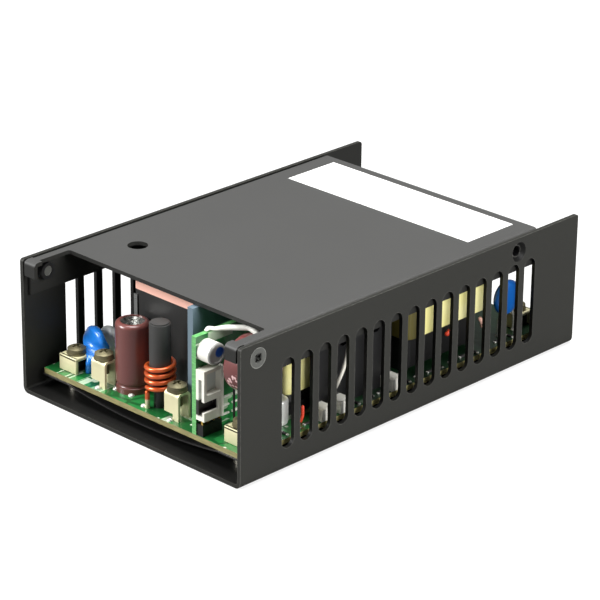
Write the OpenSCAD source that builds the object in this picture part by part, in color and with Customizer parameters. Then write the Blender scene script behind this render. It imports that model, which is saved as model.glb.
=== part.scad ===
// Conduction-cooled power supply in an open-fronted sheet-metal case.
// A slotted U-shaped chassis carries a populated board, and a bent cover closes the top.
// Millimetres. X runs across, Y runs from the output end (front) to the rear, Z is up.
// The origin is the centre of the chassis floor's underside.

/* [Chassis] */
// Width over the side walls
chassis_w = 88.4; // [84:0.2:110]
// Length of the channel
chassis_l = 139.7; // [136:0.1:170]
// Height of the side walls
chassis_h = 41.3; // [41:0.1:55]
// Thickness of the chassis sheet
sheet_t = 1.2; // [0.8:0.1:1.6]
// Outside radius of the two floor bends
bend_r = 2; // [1.8:0.1:3]
// Radius on the free corners of the side walls
wall_corner_r = 0.9; // [0.3:0.1:2]

/* [Side slots] */
// Number of slots in each side wall
slot_count = 15; // [5:1:15]
// Width of a slot
slot_w = 4.8; // [3:0.1:5.6]
// Distance from slot to slot
slot_pitch = 7.15; // [6.6:0.05:7.2]
// Centre of the first slot behind the front edge
slot_first_y = 18.1; // [14:0.1:22]
// Bottom of the slots above the underside
slot_low_z = 6.6; // [4:0.1:10]
// Top of the slots above the underside
slot_high_z = 33.4; // [28:0.1:33.6]

/* [Cover] */
// Thickness of the cover sheet
cover_t = 1.2; // [0.8:0.1:1.6]
// Length of the cover from the chassis front edge
cover_l = 122.7; // [118:0.1:130]
// Side gap between the cover and a chassis wall
cover_gap = 0.1; // [0.05:0.05:0.3]
// Depth of the cover's side flanges below the top face
flange_h = 10.9; // [9:0.1:14]
// Outside radius of the cover's bends
cover_bend_r = 1.5; // [1.3:0.1:2.5]
// Depth of the cut-out over the output terminals
cutout_l = 14.3; // [10:0.1:14.3]
// Width of the strip left on each side of the cut-out
arm_w = 3.6; // [3:0.1:5]
// Height of the tab folded down at the front of each strip
tab_h = 4.7; // [3:0.1:6]
// Relief between a front tab and its side flange
tab_relief = 0.5; // [0.3:0.1:1]
// Diameter of the round hole in the cover
vent_d = 6; // [3:0.1:8]
// Centre of that hole left of the middle
vent_x = 28.3; // [20:0.1:34]
// Centre of that hole behind the front edge
vent_y = 30.5; // [24:0.1:60]

/* [Cover screws] */
// Thread diameter of every screw
thread_d = 3; // [2.5:0.5:3]
// Clearance hole for a screw
clear_d = 3.4; // [3.3:0.1:3.6]
// Head diameter of a flat-head screw
flat_head_d = 5.9; // [5.4:0.1:6.2]
// Screw height below the top edge of the wall
side_screw_drop = 4.4; // [4:0.1:5]
// Front screw behind the front edge
side_screw_front_y = 6.6; // [6:0.1:8]
// Rear hole behind the front edge
side_screw_rear_y = 113; // [100:0.1:115]
// Outside diameter of a clinch nut in the cover
nut_d = 5; // [4.8:0.1:5.4]
// Height of a clinch nut in the cover
nut_h = 2; // [1.5:0.1:2.5]

/* [Label] */
// Width of the bare label
label_w = 72; // [40:0.5:76]
// Depth of the bare label
label_l = 19.8; // [10:0.1:30]
// Thickness of the label film
label_t = 0.1; // [0.05:0.05:0.2]
// Distance from the label to the cover's rear edge
label_margin = 3.2; // [2:0.1:20]

/* [Board] */
// Gap between the board's edge and a side wall
board_gap = 2.35; // [1.8:0.05:3]
// Length of the main board
board_l = 127; // [126:0.1:130]
// Thickness of the boards
board_t = 1.6; // [1:0.1:2]
// Board front edge behind the chassis front edge
board_y = 5; // [4:0.1:7]
// Height of the standoffs above the chassis floor
standoff_h = 4; // [3.6:0.1:5]
// Outside diameter of a standoff
standoff_d = 5; // [4.6:0.1:6]
// Thickness of the insulator film
film_t = 0.4; // [0.2:0.05:0.5]
// How far the film sags in the middle
film_sag = 2.2; // [0.5:0.1:2.3]
// Board fixings from the board's side edges
fixing_inset_x = 7; // [6.5:0.1:8]
// Front board fixings behind the board's front edge
fixing_inset_y = 6.3; // [5.5:0.1:7]

/* [Base fixing] */
// Clinch nuts in the floor, across the width
base_pitch_x = 50; // [30:1:56]
// Clinch nuts in the floor, along the length
base_pitch_y = 100; // [60:1:104]
// Outside diameter of a floor nut
base_nut_d = 5.6; // [5.2:0.1:6.4]
// Height of a floor nut above the floor
base_nut_h = 1.4; // [1:0.1:1.5]

/* [Terminals] */
// Width of a terminal clip
clip_w = 5.6; // [5:0.1:6]
// Depth of a terminal clip
clip_l = 4.7; // [4.6:0.1:5.4]
// Height of a terminal clip
clip_h = 8.2; // [6:0.1:12]
// Sheet thickness of a terminal clip
clip_t = 0.75; // [0.5:0.05:0.75]
// Side of a square corner post
post_w = 7.2; // [6.6:0.1:7.4]
// Height of a corner post
post_h = 4.8; // [4:0.1:8]
// Head diameter of a pan-head screw
pan_head_d = 5.4; // [5:0.1:5.6]
// Head height of a pan-head screw
pan_head_h = 2; // [1.6:0.1:2.4]

/* [Output parts] */
// Diameter of the upright output capacitor
out_cap_d = 10; // [8:0.1:10]
// Height of the upright output capacitor
out_cap_h = 21; // [12:0.5:30]
// Diameter of the rod choke's ferrite
rod_d = 6.1; // [5:0.1:6.4]
// Top of the rod choke above the board
rod_h = 25.6; // [18:0.1:30]
// Wire diameter of the rod choke
rod_wire_d = 1.4; // [1:0.1:1.6]
// Turns on the rod choke
rod_turns = 3.6; // [2.6:0.2:4.6]
// Diameter of the capacitor that lies over the board
lying_cap_d = 14; // [10:0.1:14]
// Length of the capacitor that lies over the board
lying_cap_l = 8; // [6:0.1:9]

/* [Magnetics] */
// Main transformer size across
main_xf_w = 24.3; // [20:0.1:25]
// Main transformer size along the board
main_xf_l = 30; // [24:0.5:32]
// Thickness of the pad between the main transformer and the cover
pad_t = 5.5; // [4.9:0.1:12]
// Choke size across
pfc_w = 23; // [18:0.5:24]
// Choke size along the board
pfc_l = 32; // [26:0.5:33]
// Space between the choke and the cover
pfc_headroom = 4.9; // [3:0.1:10]
// Thickness of the tape wound round the choke
tape_t = 1.2; // [0.8:0.1:2]

/* [Input parts] */
// Diameter of the bulk capacitor
bulk_d = 22; // [18:0.5:24]
// Space between the bulk capacitor and the cover
bulk_headroom = 2.9; // [2:0.1:12]
// Outside diameter of the line filter's ring
ring_d = 20; // [16:0.5:22]
// Thickness of the line filter's ring
ring_t = 8; // [6:0.1:10]

/* [Hidden] */

// Small clearance between pieces that drop into each other
fit = 0.05;
// Reach of a cutting tool past the face that it cuts
over = 1;
$fn = 48;

front_y = -chassis_l / 2;
inner_x = chassis_w / 2 - sheet_t;
board_w = 2 * (inner_x - board_gap);
board_low_z = sheet_t + standoff_h + film_t;
board_z = board_low_z + board_t;
cover_x = inner_x - cover_gap;
cover_low_z = chassis_h - cover_t;
cut_x = cover_x - arm_w;
// Height that the case leaves over the board
room_h = cover_low_z - board_z;
// Card that the parts were laid out on; a wider or narrower board spreads them
card_w = 81.3;
spread = board_w / card_w;
side_screw_z = chassis_h - side_screw_drop;
sink_h = sheet_t - 0.1;
thread_r = thread_d / 2;
shank_r = thread_r - fit;

// Board fixings, measured from the front edge of the chassis
fixing_x = board_w / 2 - fixing_inset_x;
fixing_ys = [board_y + fixing_inset_y, board_y + board_l - fixing_inset_y];
// Terminal clips: centres of the two at each end
output_terminal_x = [-19.85 * spread, 10.1 * spread];
input_terminal_x = [-20 * spread, -6 * spread];
output_terminal_y = board_y + 4.3;
input_terminal_y = board_y + board_l - 4.3;
clip_bend_r = 1.2;
clip_leg_w = 2.2;
clip_foot_h = 1.9;
clip_screw_l = 4.5;
washer_h = 0.5;

main_xf_h = room_h - pad_t;
pfc_h = room_h - pfc_headroom;
bulk_h = room_h - bulk_headroom;

// Upright output capacitor and rod choke
out_cap_pos = [-12.3 * spread, 13.5];
rod_pos = [1.5 * spread, 11];
rod_foot_h = 5.4;
rod_foot_d = 3.8;
rod_pitch = rod_wire_d + 0.55;
sleeve_t = 0.25;

// Transformer, its pad and the upright heatsink beside it
transformer_x = -17.3 * spread;
transformer_y = 19.4;
transformer_rail_h = 5;
core_plate = 4.6;
core_leg = 2.6;
pad_w = 23.3;
clip_strip_w = 1;
clip_strip_t = 0.4;
heatsink_x = 11.2 * spread;
heatsink_t = 2.1;
heatsink_y = 12.3;
heatsink_l = 44;
heatsink_gap = 0.3;
rectifier_ys = [23.5, 38.5];
rectifier_z = 7;

// Transistor package
package_w = 10;
package_h = 15.4;
package_tab_t = 1.3;
package_body_h = 9.4;
package_body_t = 4.4;
package_hole_z = 12.4;

// Daughter board and what it carries
daughter_x = 20.4 * spread;
daughter_l = 25;
daughter_h = room_h - 3.8;
connector_w = 3.2;
connector_l = 7.4;
connector_z = 4.8;
connector_h = 15;
header_w = 2.4;
header_l = 7.2;
header_h = 3.5;
pin_w = 0.64;
pin_pitch = 2;
small_cap_pos = [8.5, room_h - 8.4];
small_cap_r = 3.2;
small_cap_l = 4.9;
lying_cap_x = 30.4 * spread;
lying_cap_y = 14.9;
lying_cap_z = room_h - 12.1;
lead_r = 0.4;

// Parts along the right-hand side
silver_cap_pos = [33 * spread, 26.4];
silver_cap_d = 6.3;
silver_cap_h = 7.5;
side_sink_x = 34 * spread;
standby_pos = [side_sink_x - 7.7, 38];
standby_foot_h = 3;
standby_core = [6.4, 16, 24];
standby_tape = [9.6, 10, 17.4];
side_sink_t = 2;
side_sink_y = 38;
side_sink_l = 30;
side_sink_h = room_h - 4.3;
side_transistor_ys = [48.3, 61.5];
opto_x = 38.3 * spread;
opto_ys = [37.5, 45, 66];
opto_size = [4.6, 4.4, 3.6];
// Jumper wire: its route, with X counted from the outer face of the side heatsink
jumper_r = 0.55;
jumper_points = [[1.8, 41.2, 0], [1.8, 41.2, 2.5], [1.9, 41.8, 4.8], [1.9, 44.2, 8], [1.8, 47, 12],
                 [1.5, 48.6, 17], [1.1, 48.9, 22], [0.8, 48.8, 25.5], [0.56, 48.6, 27.6]];

// Choke behind them
pfc_x = 13 * spread;
pfc_y = 75;
pfc_rail_h = 10.4;
pfc_corner_r = 3;

// Parts towards the input end
bulk_pos = [-27.6 * spread, 59];
bridge_sink = [2, 30, room_h - 2.9];
bridge_sink_pos = [2.05 - board_w / 2, 78];
bridge = [4, 22, 15];
film_cap = [18, 9, 15];
film_cap_pos = [8 * spread, 116.5];
ring_pos = [-13 * spread, 91];
ring_hole_r = 5.4;
ring_wire = 1;
ring_turns = 8;
fuse_pos = [-14 * spread, 119];
fuse_r = 2.5;
fuse_l = 20;
fuse_cap_l = 5;
fuse_lift = 4.2;
fuse_clip_t = 0.5;
rear_disc_pos = [36 * spread, 113.5];
blue_disc_pos = [-31.6 * spread, 17.2];
grey_disc_pos = [-32 * spread, 22.6];
// Coated discs: diameter, thickness, height of the underside above the board, lead pitch
blue_disc = [10, 3.4, 2, 5];
blue_disc_turn = -15;
grey_disc = [8, 3, 2.2, 5];
rear_disc = [11, 3.6, 5.6, 7.5];

// --- Helpers --------------------------------------------------------------

// Moves to a place given from the front edge of the chassis
module from_front(x, y, z = 0) {
    translate([x, front_y + y, z]) children();
}

// Moves to a place on top of the main board
module on_board(x, y, z = 0) {
    from_front(x, y, board_z + z) children();
}

// Copies a piece to the left and right sides
module both_sides() {
    for (side = [0, 1]) mirror([side, 0, 0]) children();
}

// Extrudes a profile drawn in X and Z towards the rear
module towards_rear(length) {
    translate([0, length, 0]) rotate([90, 0, 0]) linear_extrude(length) children();
}

// Extrudes a profile drawn in Y and Z towards the right
module towards_right(length) {
    rotate([90, 0, 90]) linear_extrude(length) children();
}

// Upright rectangle on the axis whose two lower corners are round
module round_bottom(w, h, r) {
    translate([-w / 2, r]) square([w, h - r]);
    translate([r - w / 2, 0]) square([w - 2 * r, r]);
    for (x = [r - w / 2, w / 2 - r]) translate([x, r]) circle(r);
}

// Bent channel section, open at the top
module channel_profile(w, h, t, r) {
    difference() {
        round_bottom(w, h, r);
        translate([0, t]) round_bottom(w - 2 * t, h, r - t);
    }
}

// Solid block on the axis with four rounded upright edges
module rounded_block(w, l, h, r) {
    linear_extrude(h) {
        square([w - 2 * r, l], center = true);
        square([w, l - 2 * r], center = true);
        for (x = [r - w / 2, w / 2 - r], y = [r - l / 2, l / 2 - r]) translate([x, y]) circle(r);
    }
}

// Four places at the corners of a rectangle on the chassis axis
module at_corners(x, ys) {
    for (side = [-1, 1], y = ys) from_front(side * x, y) children();
}

// Cross recess in the top of a screw head
module cross_recess(size, depth) {
    for (turn = [0, 90]) {
        rotate([0, 0, turn]) translate([-size / 2, -size / 8, -depth]) cube([size, size / 4, depth + over]);
    }
}

// Pan-head screw with its washer, standing on z = 0 with its shank below
module pan_screw(length) {
    crown = 0.8;
    dome_r = (pow(pan_head_d / 2, 2) + crown * crown) / (2 * crown);
    translate([0, 0, -length]) cylinder(r = shank_r, h = length);
    cylinder(d = pan_head_d + 0.4, h = washer_h);
    translate([0, 0, washer_h]) difference() {
        rotate_extrude() intersection() {
            square([pan_head_d / 2, pan_head_h]);
            translate([0, pan_head_h - dome_r]) circle(dome_r, $fn = 96);
        }
        translate([0, 0, pan_head_h]) cross_recess(pan_head_d * 0.55, 1.2);
    }
}

// Body of a radial capacitor: a can with a rolled groove near its foot.
// grow gives the same body a little larger all round, for its sleeve.
module can_body(r, h, grow = 0) {
    edge = 1 + grow;
    groove_r = 1 - grow;
    full_r = r + grow;
    full_h = h + grow;
    rotate_extrude() difference() {
        union() {
            square([full_r - edge, full_h]);
            square([full_r, full_h - edge]);
            translate([full_r - edge, full_h - edge]) circle(edge);
        }
        translate([r + 0.5, 2.4]) circle(groove_r);
    }
}

// Bare can: the body without its sleeve, with a crossed vent pressed into the top
module capacitor_can(d, h) {
    r = d / 2 - sleeve_t;
    difference() {
        can_body(r, h - sleeve_t);
        translate([0, 0, h - sleeve_t]) for (turn = [0, 90]) {
            rotate([0, 0, turn]) translate([-r * 0.6, -0.2, -0.3]) cube([r * 1.2, 0.4, over]);
        }
    }
}

// Shrunk sleeve round a can, open over the vent
module capacitor_sleeve(d, h) {
    r = d / 2 - sleeve_t;
    difference() {
        can_body(r, h - sleeve_t, sleeve_t);
        can_body(r, h - sleeve_t);
        translate([0, 0, h - sleeve_t - 0.01]) cylinder(r = r - 1.2, h = over);
    }
}

// Coated disc on two leads, standing across X
module disc_capacitor(disc) {
    d = disc[0];
    t = disc[1];
    lift = disc[2];
    pitch = disc[3];
    translate([0, 0, lift + d / 2]) rotate([90, 0, 0]) translate([0, 0, -t / 2]) rotate_extrude() {
        square([d / 2 - t / 2, t]);
        translate([d / 2 - t / 2, t / 2]) circle(t / 2);
    }
    for (x = [-pitch / 2, pitch / 2]) translate([x, 0, 0]) {
        cylinder(r = lead_r, h = lift + d / 2);
        translate([0, 0, lift * 0.5]) cylinder(r1 = lead_r + 0.1, r2 = t * 0.4, h = lift * 0.5 + d * 0.2);
    }
}

// Flat transistor package standing on its leads, its metal tab against the YZ plane
module transistor(lift) {
    translate([0, -package_w / 2, lift]) difference() {
        union() {
            cube([package_tab_t, package_w, package_h]);
            cube([package_body_t, package_w, package_body_h]);
        }
        translate([-over, package_w / 2, package_hole_z]) rotate([0, 90, 0]) {
            cylinder(d = clear_d, h = package_body_t + 2 * over);
        }
    }
    for (y = [-2.5, 0, 2.5]) translate([2, y - 0.4, 0]) cube([0.6, 0.8, lift]);
}

// Round wire swept along points, with its rings square to the path.
// The rings turn about one fixed direction, which no part of the path may follow.
module wire(points, r, side, sides = 8) {
    last = len(points) - 1;
    ring = [
        for (i = [0:last])
            let (tangent = points[min(i + 1, last)] - points[max(i - 1, 0)])
            let (along = tangent / norm(tangent))
            let (across = cross(along, side))
            let (u = across / norm(across))
            let (v = cross(along, u))
            for (k = [0:sides - 1]) points[i] + r * (cos(360 * k / sides) * u + sin(360 * k / sides) * v)
    ];
    walls = [
        for (i = [0:last - 1], k = [0:sides - 1])
            [i * sides + k, i * sides + (k + 1) % sides,
             (i + 1) * sides + (k + 1) % sides, (i + 1) * sides + k]
    ];
    first_cap = [[for (k = [sides - 1:-1:0]) k]];
    last_cap = [[for (k = [0:sides - 1]) last * sides + k]];
    polyhedron(ring, concat(first_cap, walls, last_cap));
}

// --- Case -----------------------------------------------------------------

// Outline of one side slot, its long axis upright
module slot_outline() {
    r = slot_w / 2;
    translate([-r, slot_low_z + r]) square([slot_w, slot_high_z - slot_low_z - slot_w]);
    for (z = [slot_low_z + r, slot_high_z - r]) translate([0, z]) circle(r);
}

// Countersunk screw holes through both walls at one place along the chassis
module side_screw_holes(y) {
    from_front(-chassis_w / 2 - over, y, side_screw_z) rotate([0, 90, 0]) {
        cylinder(d = clear_d, h = chassis_w + 2 * over);
    }
    both_sides() from_front(chassis_w / 2, y, side_screw_z) rotate([0, -90, 0]) {
        cylinder(r1 = flat_head_d / 2 + fit, r2 = flat_head_d / 2 + fit - sink_h, h = sink_h);
    }
}

// Waste outside a rounded upper corner of the side walls, at the front
module wall_corner_waste() {
    translate([-chassis_w / 2 - over, front_y, chassis_h]) towards_right(chassis_w + 2 * over) {
        difference() {
            translate([-over, -wall_corner_r]) square([wall_corner_r + over, wall_corner_r + over]);
            translate([wall_corner_r, -wall_corner_r]) circle(wall_corner_r);
        }
    }
}

module chassis() {
    color("#2b2a28") difference() {
        from_front(0, 0) towards_rear(chassis_l) channel_profile(chassis_w, chassis_h, sheet_t, bend_r);
        for (i = [0:slot_count - 1]) {
            from_front(-chassis_w / 2 - over, slot_first_y + i * slot_pitch) {
                towards_right(chassis_w + 2 * over) slot_outline();
            }
        }
        for (y = [side_screw_front_y, side_screw_rear_y]) side_screw_holes(y);
        for (end = [0, 1]) mirror([0, end, 0]) wall_corner_waste();
        at_corners(fixing_x, fixing_ys) translate([0, 0, -over]) {
            cylinder(r = standoff_shank_r, h = sheet_t + 2 * over);
        }
        at_corners(base_pitch_x / 2, base_nut_ys) translate([0, 0, -over]) {
            cylinder(r = base_nut_shank_r, h = sheet_t + 2 * over);
        }
    }
}

standoff_shank_r = standoff_d / 2 - 0.7;
base_nut_shank_r = base_nut_d / 2 - 0.7;
base_nut_ys = [chassis_l / 2 - base_pitch_y / 2, chassis_l / 2 + base_pitch_y / 2];
// Core diameter of the thread that takes a customer's screw
base_thread_d = thread_d - 0.5;
// Closed end left under each standoff's thread
standoff_web = 0.6;

module base_nuts() {
    color("silver") at_corners(base_pitch_x / 2, base_nut_ys) difference() {
        union() {
            cylinder(r = base_nut_shank_r, h = sheet_t);
            translate([0, 0, sheet_t]) cylinder(d = base_nut_d, h = base_nut_h);
        }
        translate([0, 0, -over]) cylinder(d = base_thread_d, h = sheet_t + base_nut_h + 2 * over);
    }
}

module standoffs() {
    color("silver") at_corners(fixing_x, fixing_ys) difference() {
        union() {
            cylinder(r = standoff_shank_r, h = sheet_t);
            translate([0, 0, sheet_t]) cylinder(d = standoff_d, h = standoff_h);
        }
        translate([0, 0, standoff_web]) cylinder(r = thread_r, h = sheet_t + standoff_h);
    }
}

// The film lies flat over the standoffs and sags in one arc between them
module insulator_film() {
    flat_x = fixing_x - standoff_d / 2 - 0.5;
    arc_r = (flat_x * flat_x + film_sag * film_sag) / (2 * film_sag);
    arc_z = board_low_z + sqrt(arc_r * arc_r - flat_x * flat_x);
    margin_y = 0.5;
    color("#151515") difference() {
        from_front(0, board_y - margin_y) towards_rear(board_l + 2 * margin_y) difference() {
            union() {
                translate([-board_w / 2, board_low_z - film_t]) square([board_w, film_t]);
                intersection() {
                    translate([-flat_x, 0]) square([2 * flat_x, board_low_z]);
                    translate([0, arc_z]) circle(arc_r + film_t, $fn = 720);
                }
            }
            translate([0, arc_z]) circle(arc_r, $fn = 720);
        }
        at_corners(fixing_x, fixing_ys) cylinder(d = clear_d, h = board_z);
    }
}

module main_board() {
    color("#1f7a3c") difference() {
        from_front(-board_w / 2, board_y, board_low_z) cube([board_w, board_l, board_t]);
        at_corners(fixing_x, fixing_ys) cylinder(d = clear_d, h = board_z + over);
    }
}

module corner_posts() {
    color("#d8d2b8") at_corners(fixing_x, fixing_ys) translate([0, 0, board_z]) difference() {
        rounded_block(post_w, post_w, post_h, 0.6);
        translate([0, 0, -over]) cylinder(d = clear_d, h = post_h + 2 * over);
    }
}

module board_screws() {
    length = post_h + board_t + film_t + standoff_h - 0.4;
    color("silver") at_corners(fixing_x, fixing_ys) translate([0, 0, board_z + post_h]) pan_screw(length);
}

// --- Cover ----------------------------------------------------------------

// Flange front edge behind the tab
flange_setback = cover_t + tab_relief;
// The strips widen a little where the tabs fold down
tab_x = cut_x - 1.2;
tab_len = 3;
nut_shank_r = nut_d / 2 - 0.6;

// Folded front tab of one strip, with its bend
module cover_tab() {
    w = cover_x - tab_relief - tab_x;
    from_front(tab_x, 0, chassis_h) towards_right(w) difference() {
        union() {
            translate([cover_bend_r, -cover_t]) square([tab_len - cover_bend_r, cover_t]);
            translate([0, -tab_h]) square([cover_t, tab_h - cover_bend_r]);
            intersection() {
                translate([0, -cover_bend_r]) square(cover_bend_r);
                translate([cover_bend_r, -cover_bend_r]) difference() {
                    circle(cover_bend_r);
                    circle(cover_bend_r - cover_t);
                }
            }
        }
    }
}

// Pocket between the strips, square behind and wider towards the rear than at the tabs
module cover_cutout() {
    corner_r = 1;
    from_front(0, 0, cover_low_z - over) linear_extrude(cover_t + 2 * over) {
        translate([-tab_x, -over]) square([2 * tab_x, tab_len + 2 * over]);
        translate([-cut_x, tab_len]) square([2 * cut_x, cutout_l - tab_len - corner_r]);
        translate([corner_r - cut_x, tab_len]) square([2 * (cut_x - corner_r), cutout_l - tab_len]);
        for (side = [-1, 1]) translate([side * (cut_x - corner_r), cutout_l - corner_r]) circle(corner_r);
    }
}

module top_cover() {
    color("#4a4b4b") {
        difference() {
            from_front(0, 0, chassis_h) mirror([0, 0, 1]) towards_rear(cover_l) {
                channel_profile(2 * cover_x, flange_h, cover_t, cover_bend_r);
            }
            from_front(-chassis_w / 2, -over, chassis_h - flange_h - over) {
                cube([chassis_w, flange_setback + over, flange_h + 2 * over]);
            }
            cover_cutout();
            from_front(-vent_x, vent_y, cover_low_z - over) cylinder(d = vent_d, h = cover_t + 2 * over);
            for (y = [side_screw_front_y, side_screw_rear_y]) {
                from_front(-chassis_w / 2, y, side_screw_z) rotate([0, 90, 0]) {
                    cylinder(r = nut_shank_r, h = chassis_w);
                }
            }
        }
        both_sides() {
            cover_tab();
            from_front(tab_x, flange_setback, cover_low_z) cube([cut_x - tab_x + 0.5, tab_len - flange_setback, cover_t]);
        }
    }
}

module cover_nuts() {
    color("silver") both_sides() for (y = [side_screw_front_y, side_screw_rear_y]) {
        from_front(cover_x, y, side_screw_z) rotate([0, -90, 0]) difference() {
            union() {
                cylinder(r = nut_shank_r, h = cover_t);
                translate([0, 0, cover_t]) cylinder(d = nut_d, h = nut_h);
            }
            translate([0, 0, -over]) cylinder(r = thread_r, h = cover_t + nut_h + 2 * over);
        }
    }
}

module cover_screws() {
    head_r = flat_head_d / 2;
    length = sheet_t + cover_gap + cover_t + nut_h - 0.3;
    color("silver") both_sides() from_front(chassis_w / 2, side_screw_front_y, side_screw_z) {
        rotate([0, -90, 0]) difference() {
            union() {
                cylinder(r1 = head_r, r2 = head_r - sink_h, h = sink_h);
                cylinder(r = shank_r, h = length);
            }
            mirror([0, 0, 1]) rotate([0, 0, 45]) cross_recess(flat_head_d * 0.5, 0.9);
        }
    }
}

module label() {
    color("white") from_front(-label_w / 2, cover_l - label_margin - label_l, chassis_h) {
        cube([label_w, label_l, label_t]);
    }
}

// --- Terminals ------------------------------------------------------------

// Bent clip standing on the board, its narrow leg towards the nearer board edge
module terminal_clip() {
    color("#e2dcc0") difference() {
        translate([-clip_w / 2, 0, 0]) towards_right(clip_w) difference() {
            translate([0, clip_h]) mirror([0, 1]) round_bottom(clip_l, clip_h, clip_bend_r);
            translate([0, clip_h - clip_t]) mirror([0, 1]) {
                round_bottom(clip_l - 2 * clip_t, clip_h, clip_bend_r - clip_t + 0.1);
            }
        }
        translate([-clip_w / 2 - over, -clip_l / 2 - over, -over]) {
            cube([clip_w - clip_leg_w + over, clip_t + over + 0.1, clip_foot_h + over]);
        }
        translate([0, 0, clip_h - clip_t - over]) cylinder(r = thread_r, h = clip_t + 2 * over);
    }
}

module output_terminal_left() {
    on_board(output_terminal_x[0], output_terminal_y) terminal_clip();
}

module output_terminal_right() {
    on_board(output_terminal_x[1], output_terminal_y) terminal_clip();
}

module input_terminal_left() {
    on_board(input_terminal_x[0], input_terminal_y) rotate([0, 0, 180]) terminal_clip();
}

module input_terminal_right() {
    on_board(input_terminal_x[1], input_terminal_y) rotate([0, 0, 180]) terminal_clip();
}

// Screw that runs in the tapped top of its clip
module terminal_screw() {
    translate([0, 0, clip_h]) pan_screw(clip_screw_l);
}

module terminal_screws() {
    color("silver") {
        for (x = output_terminal_x) on_board(x, output_terminal_y) terminal_screw();
        for (x = input_terminal_x) on_board(x, input_terminal_y) terminal_screw();
    }
}

// --- Output parts ---------------------------------------------------------

module output_capacitor() {
    color("silver") on_board(out_cap_pos[0], out_cap_pos[1]) capacitor_can(out_cap_d, out_cap_h);
}

module output_capacitor_sleeve() {
    color("#5d2a2a") on_board(out_cap_pos[0], out_cap_pos[1]) capacitor_sleeve(out_cap_d, out_cap_h);
}

module rod_choke_core() {
    color("#4c4c4a") on_board(rod_pos[0], rod_pos[1], rod_foot_h) rotate_extrude() {
        square([rod_d / 2 - 0.4, rod_h - rod_foot_h]);
        translate([0, 0.4]) square([rod_d / 2, rod_h - rod_foot_h - 0.8]);
    }
}

module rod_choke_foot() {
    color("#3f3f3f") on_board(rod_pos[0], rod_pos[1]) cylinder(d = rod_foot_d, h = rod_foot_h);
}

// The winding starts with a straight lead at the front, climbs the rod and comes down behind it
module rod_choke_winding() {
    r = rod_wire_d / 2;
    coil_r = rod_d / 2 + r + 2 * fit;
    steps = 16;
    start = 246;
    low = rod_foot_h + r + 0.2;
    high = low + rod_turns * rod_pitch;
    back_r = coil_r + rod_wire_d + 0.2;
    start_lead = [for (z = [0, low / 2, low - 1]) [coil_r, start, z]];
    finish = start + 360 * rod_turns;
    coil = [
        for (i = [0:steps * rod_turns]) [coil_r, start + 360 * i / steps, low + rod_pitch * i / steps]
    ];
    end_lead = [
        [back_r - 0.4, finish + 14, high],
        [back_r, finish + 28, high - 1.2],
        [back_r, finish + 32, high - 3.4],
        [back_r, finish + 32, high / 2],
        [back_r, finish + 32, 0]
    ];
    path = concat(start_lead, coil, end_lead);
    color("#c8622c") on_board(rod_pos[0], rod_pos[1]) radial_wire(path, r);
}

// Wire along points given as radius, angle and height; its rings lie on the radius
module radial_wire(path, r, sides = 8) {
    last = len(path) - 1;
    points = [for (p = path) [p[0] * cos(p[1]), p[0] * sin(p[1]), p[2]]];
    ring = [
        for (i = [0:last])
            let (tangent = points[min(i + 1, last)] - points[max(i - 1, 0)])
            let (u = [cos(path[i][1]), sin(path[i][1]), 0])
            let (side = cross(tangent / norm(tangent), u))
            let (v = side / norm(side))
            for (k = [0:sides - 1]) points[i] + r * (cos(360 * k / sides) * u + sin(360 * k / sides) * v)
    ];
    walls = [
        for (i = [0:last - 1], k = [0:sides - 1])
            [i * sides + k, i * sides + (k + 1) % sides,
             (i + 1) * sides + (k + 1) % sides, (i + 1) * sides + k]
    ];
    first_cap = [[for (k = [sides - 1:-1:0]) k]];
    last_cap = [[for (k = [0:sides - 1]) last * sides + k]];
    polyhedron(ring, concat(first_cap, walls, last_cap));
}

module blue_disc_capacitor() {
    color("#1f6fc0") on_board(blue_disc_pos[0], blue_disc_pos[1]) {
        rotate([0, 0, blue_disc_turn]) disc_capacitor(blue_disc);
    }
}

module grey_disc_capacitor() {
    color("#b9bcb6") on_board(grey_disc_pos[0], grey_disc_pos[1]) disc_capacitor(grey_disc);
}

module rear_disc_capacitor() {
    color("#1f6fc0") on_board(rear_disc_pos[0], rear_disc_pos[1]) rotate([0, 0, 90]) {
        disc_capacitor(rear_disc);
    }
}

// --- Main transformer -----------------------------------------------------

transformer_core_h = main_xf_h - transformer_rail_h;
transformer_axis_z = transformer_rail_h + transformer_core_h / 2;
winding_r = main_xf_w / 2 - core_leg - 0.3;
centre_leg_r = winding_r * 0.45;
flange_t = 0.8;

// Moves to the transformer's front lower left corner, with Y along its winding axis
module at_transformer() {
    on_board(transformer_x, transformer_y) children();
}

// One of the two core halves: a plate with two outer legs and a round middle leg
module transformer_core_half() {
    translate([0, 0, transformer_rail_h]) {
        cube([main_xf_w, core_plate, transformer_core_h]);
        for (x = [0, main_xf_w - core_leg]) translate([x, 0, 0]) {
            cube([core_leg, main_xf_l / 2 - 0.02, transformer_core_h]);
        }
    }
    translate([main_xf_w / 2, 0, transformer_axis_z]) rotate([-90, 0, 0]) {
        cylinder(r = centre_leg_r, h = main_xf_l / 2 - 0.02);
    }
}

module transformer_core() {
    color("#2c2c2e") at_transformer() {
        transformer_core_half();
        translate([0, main_xf_l, 0]) mirror([0, 1, 0]) transformer_core_half();
    }
}

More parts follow.
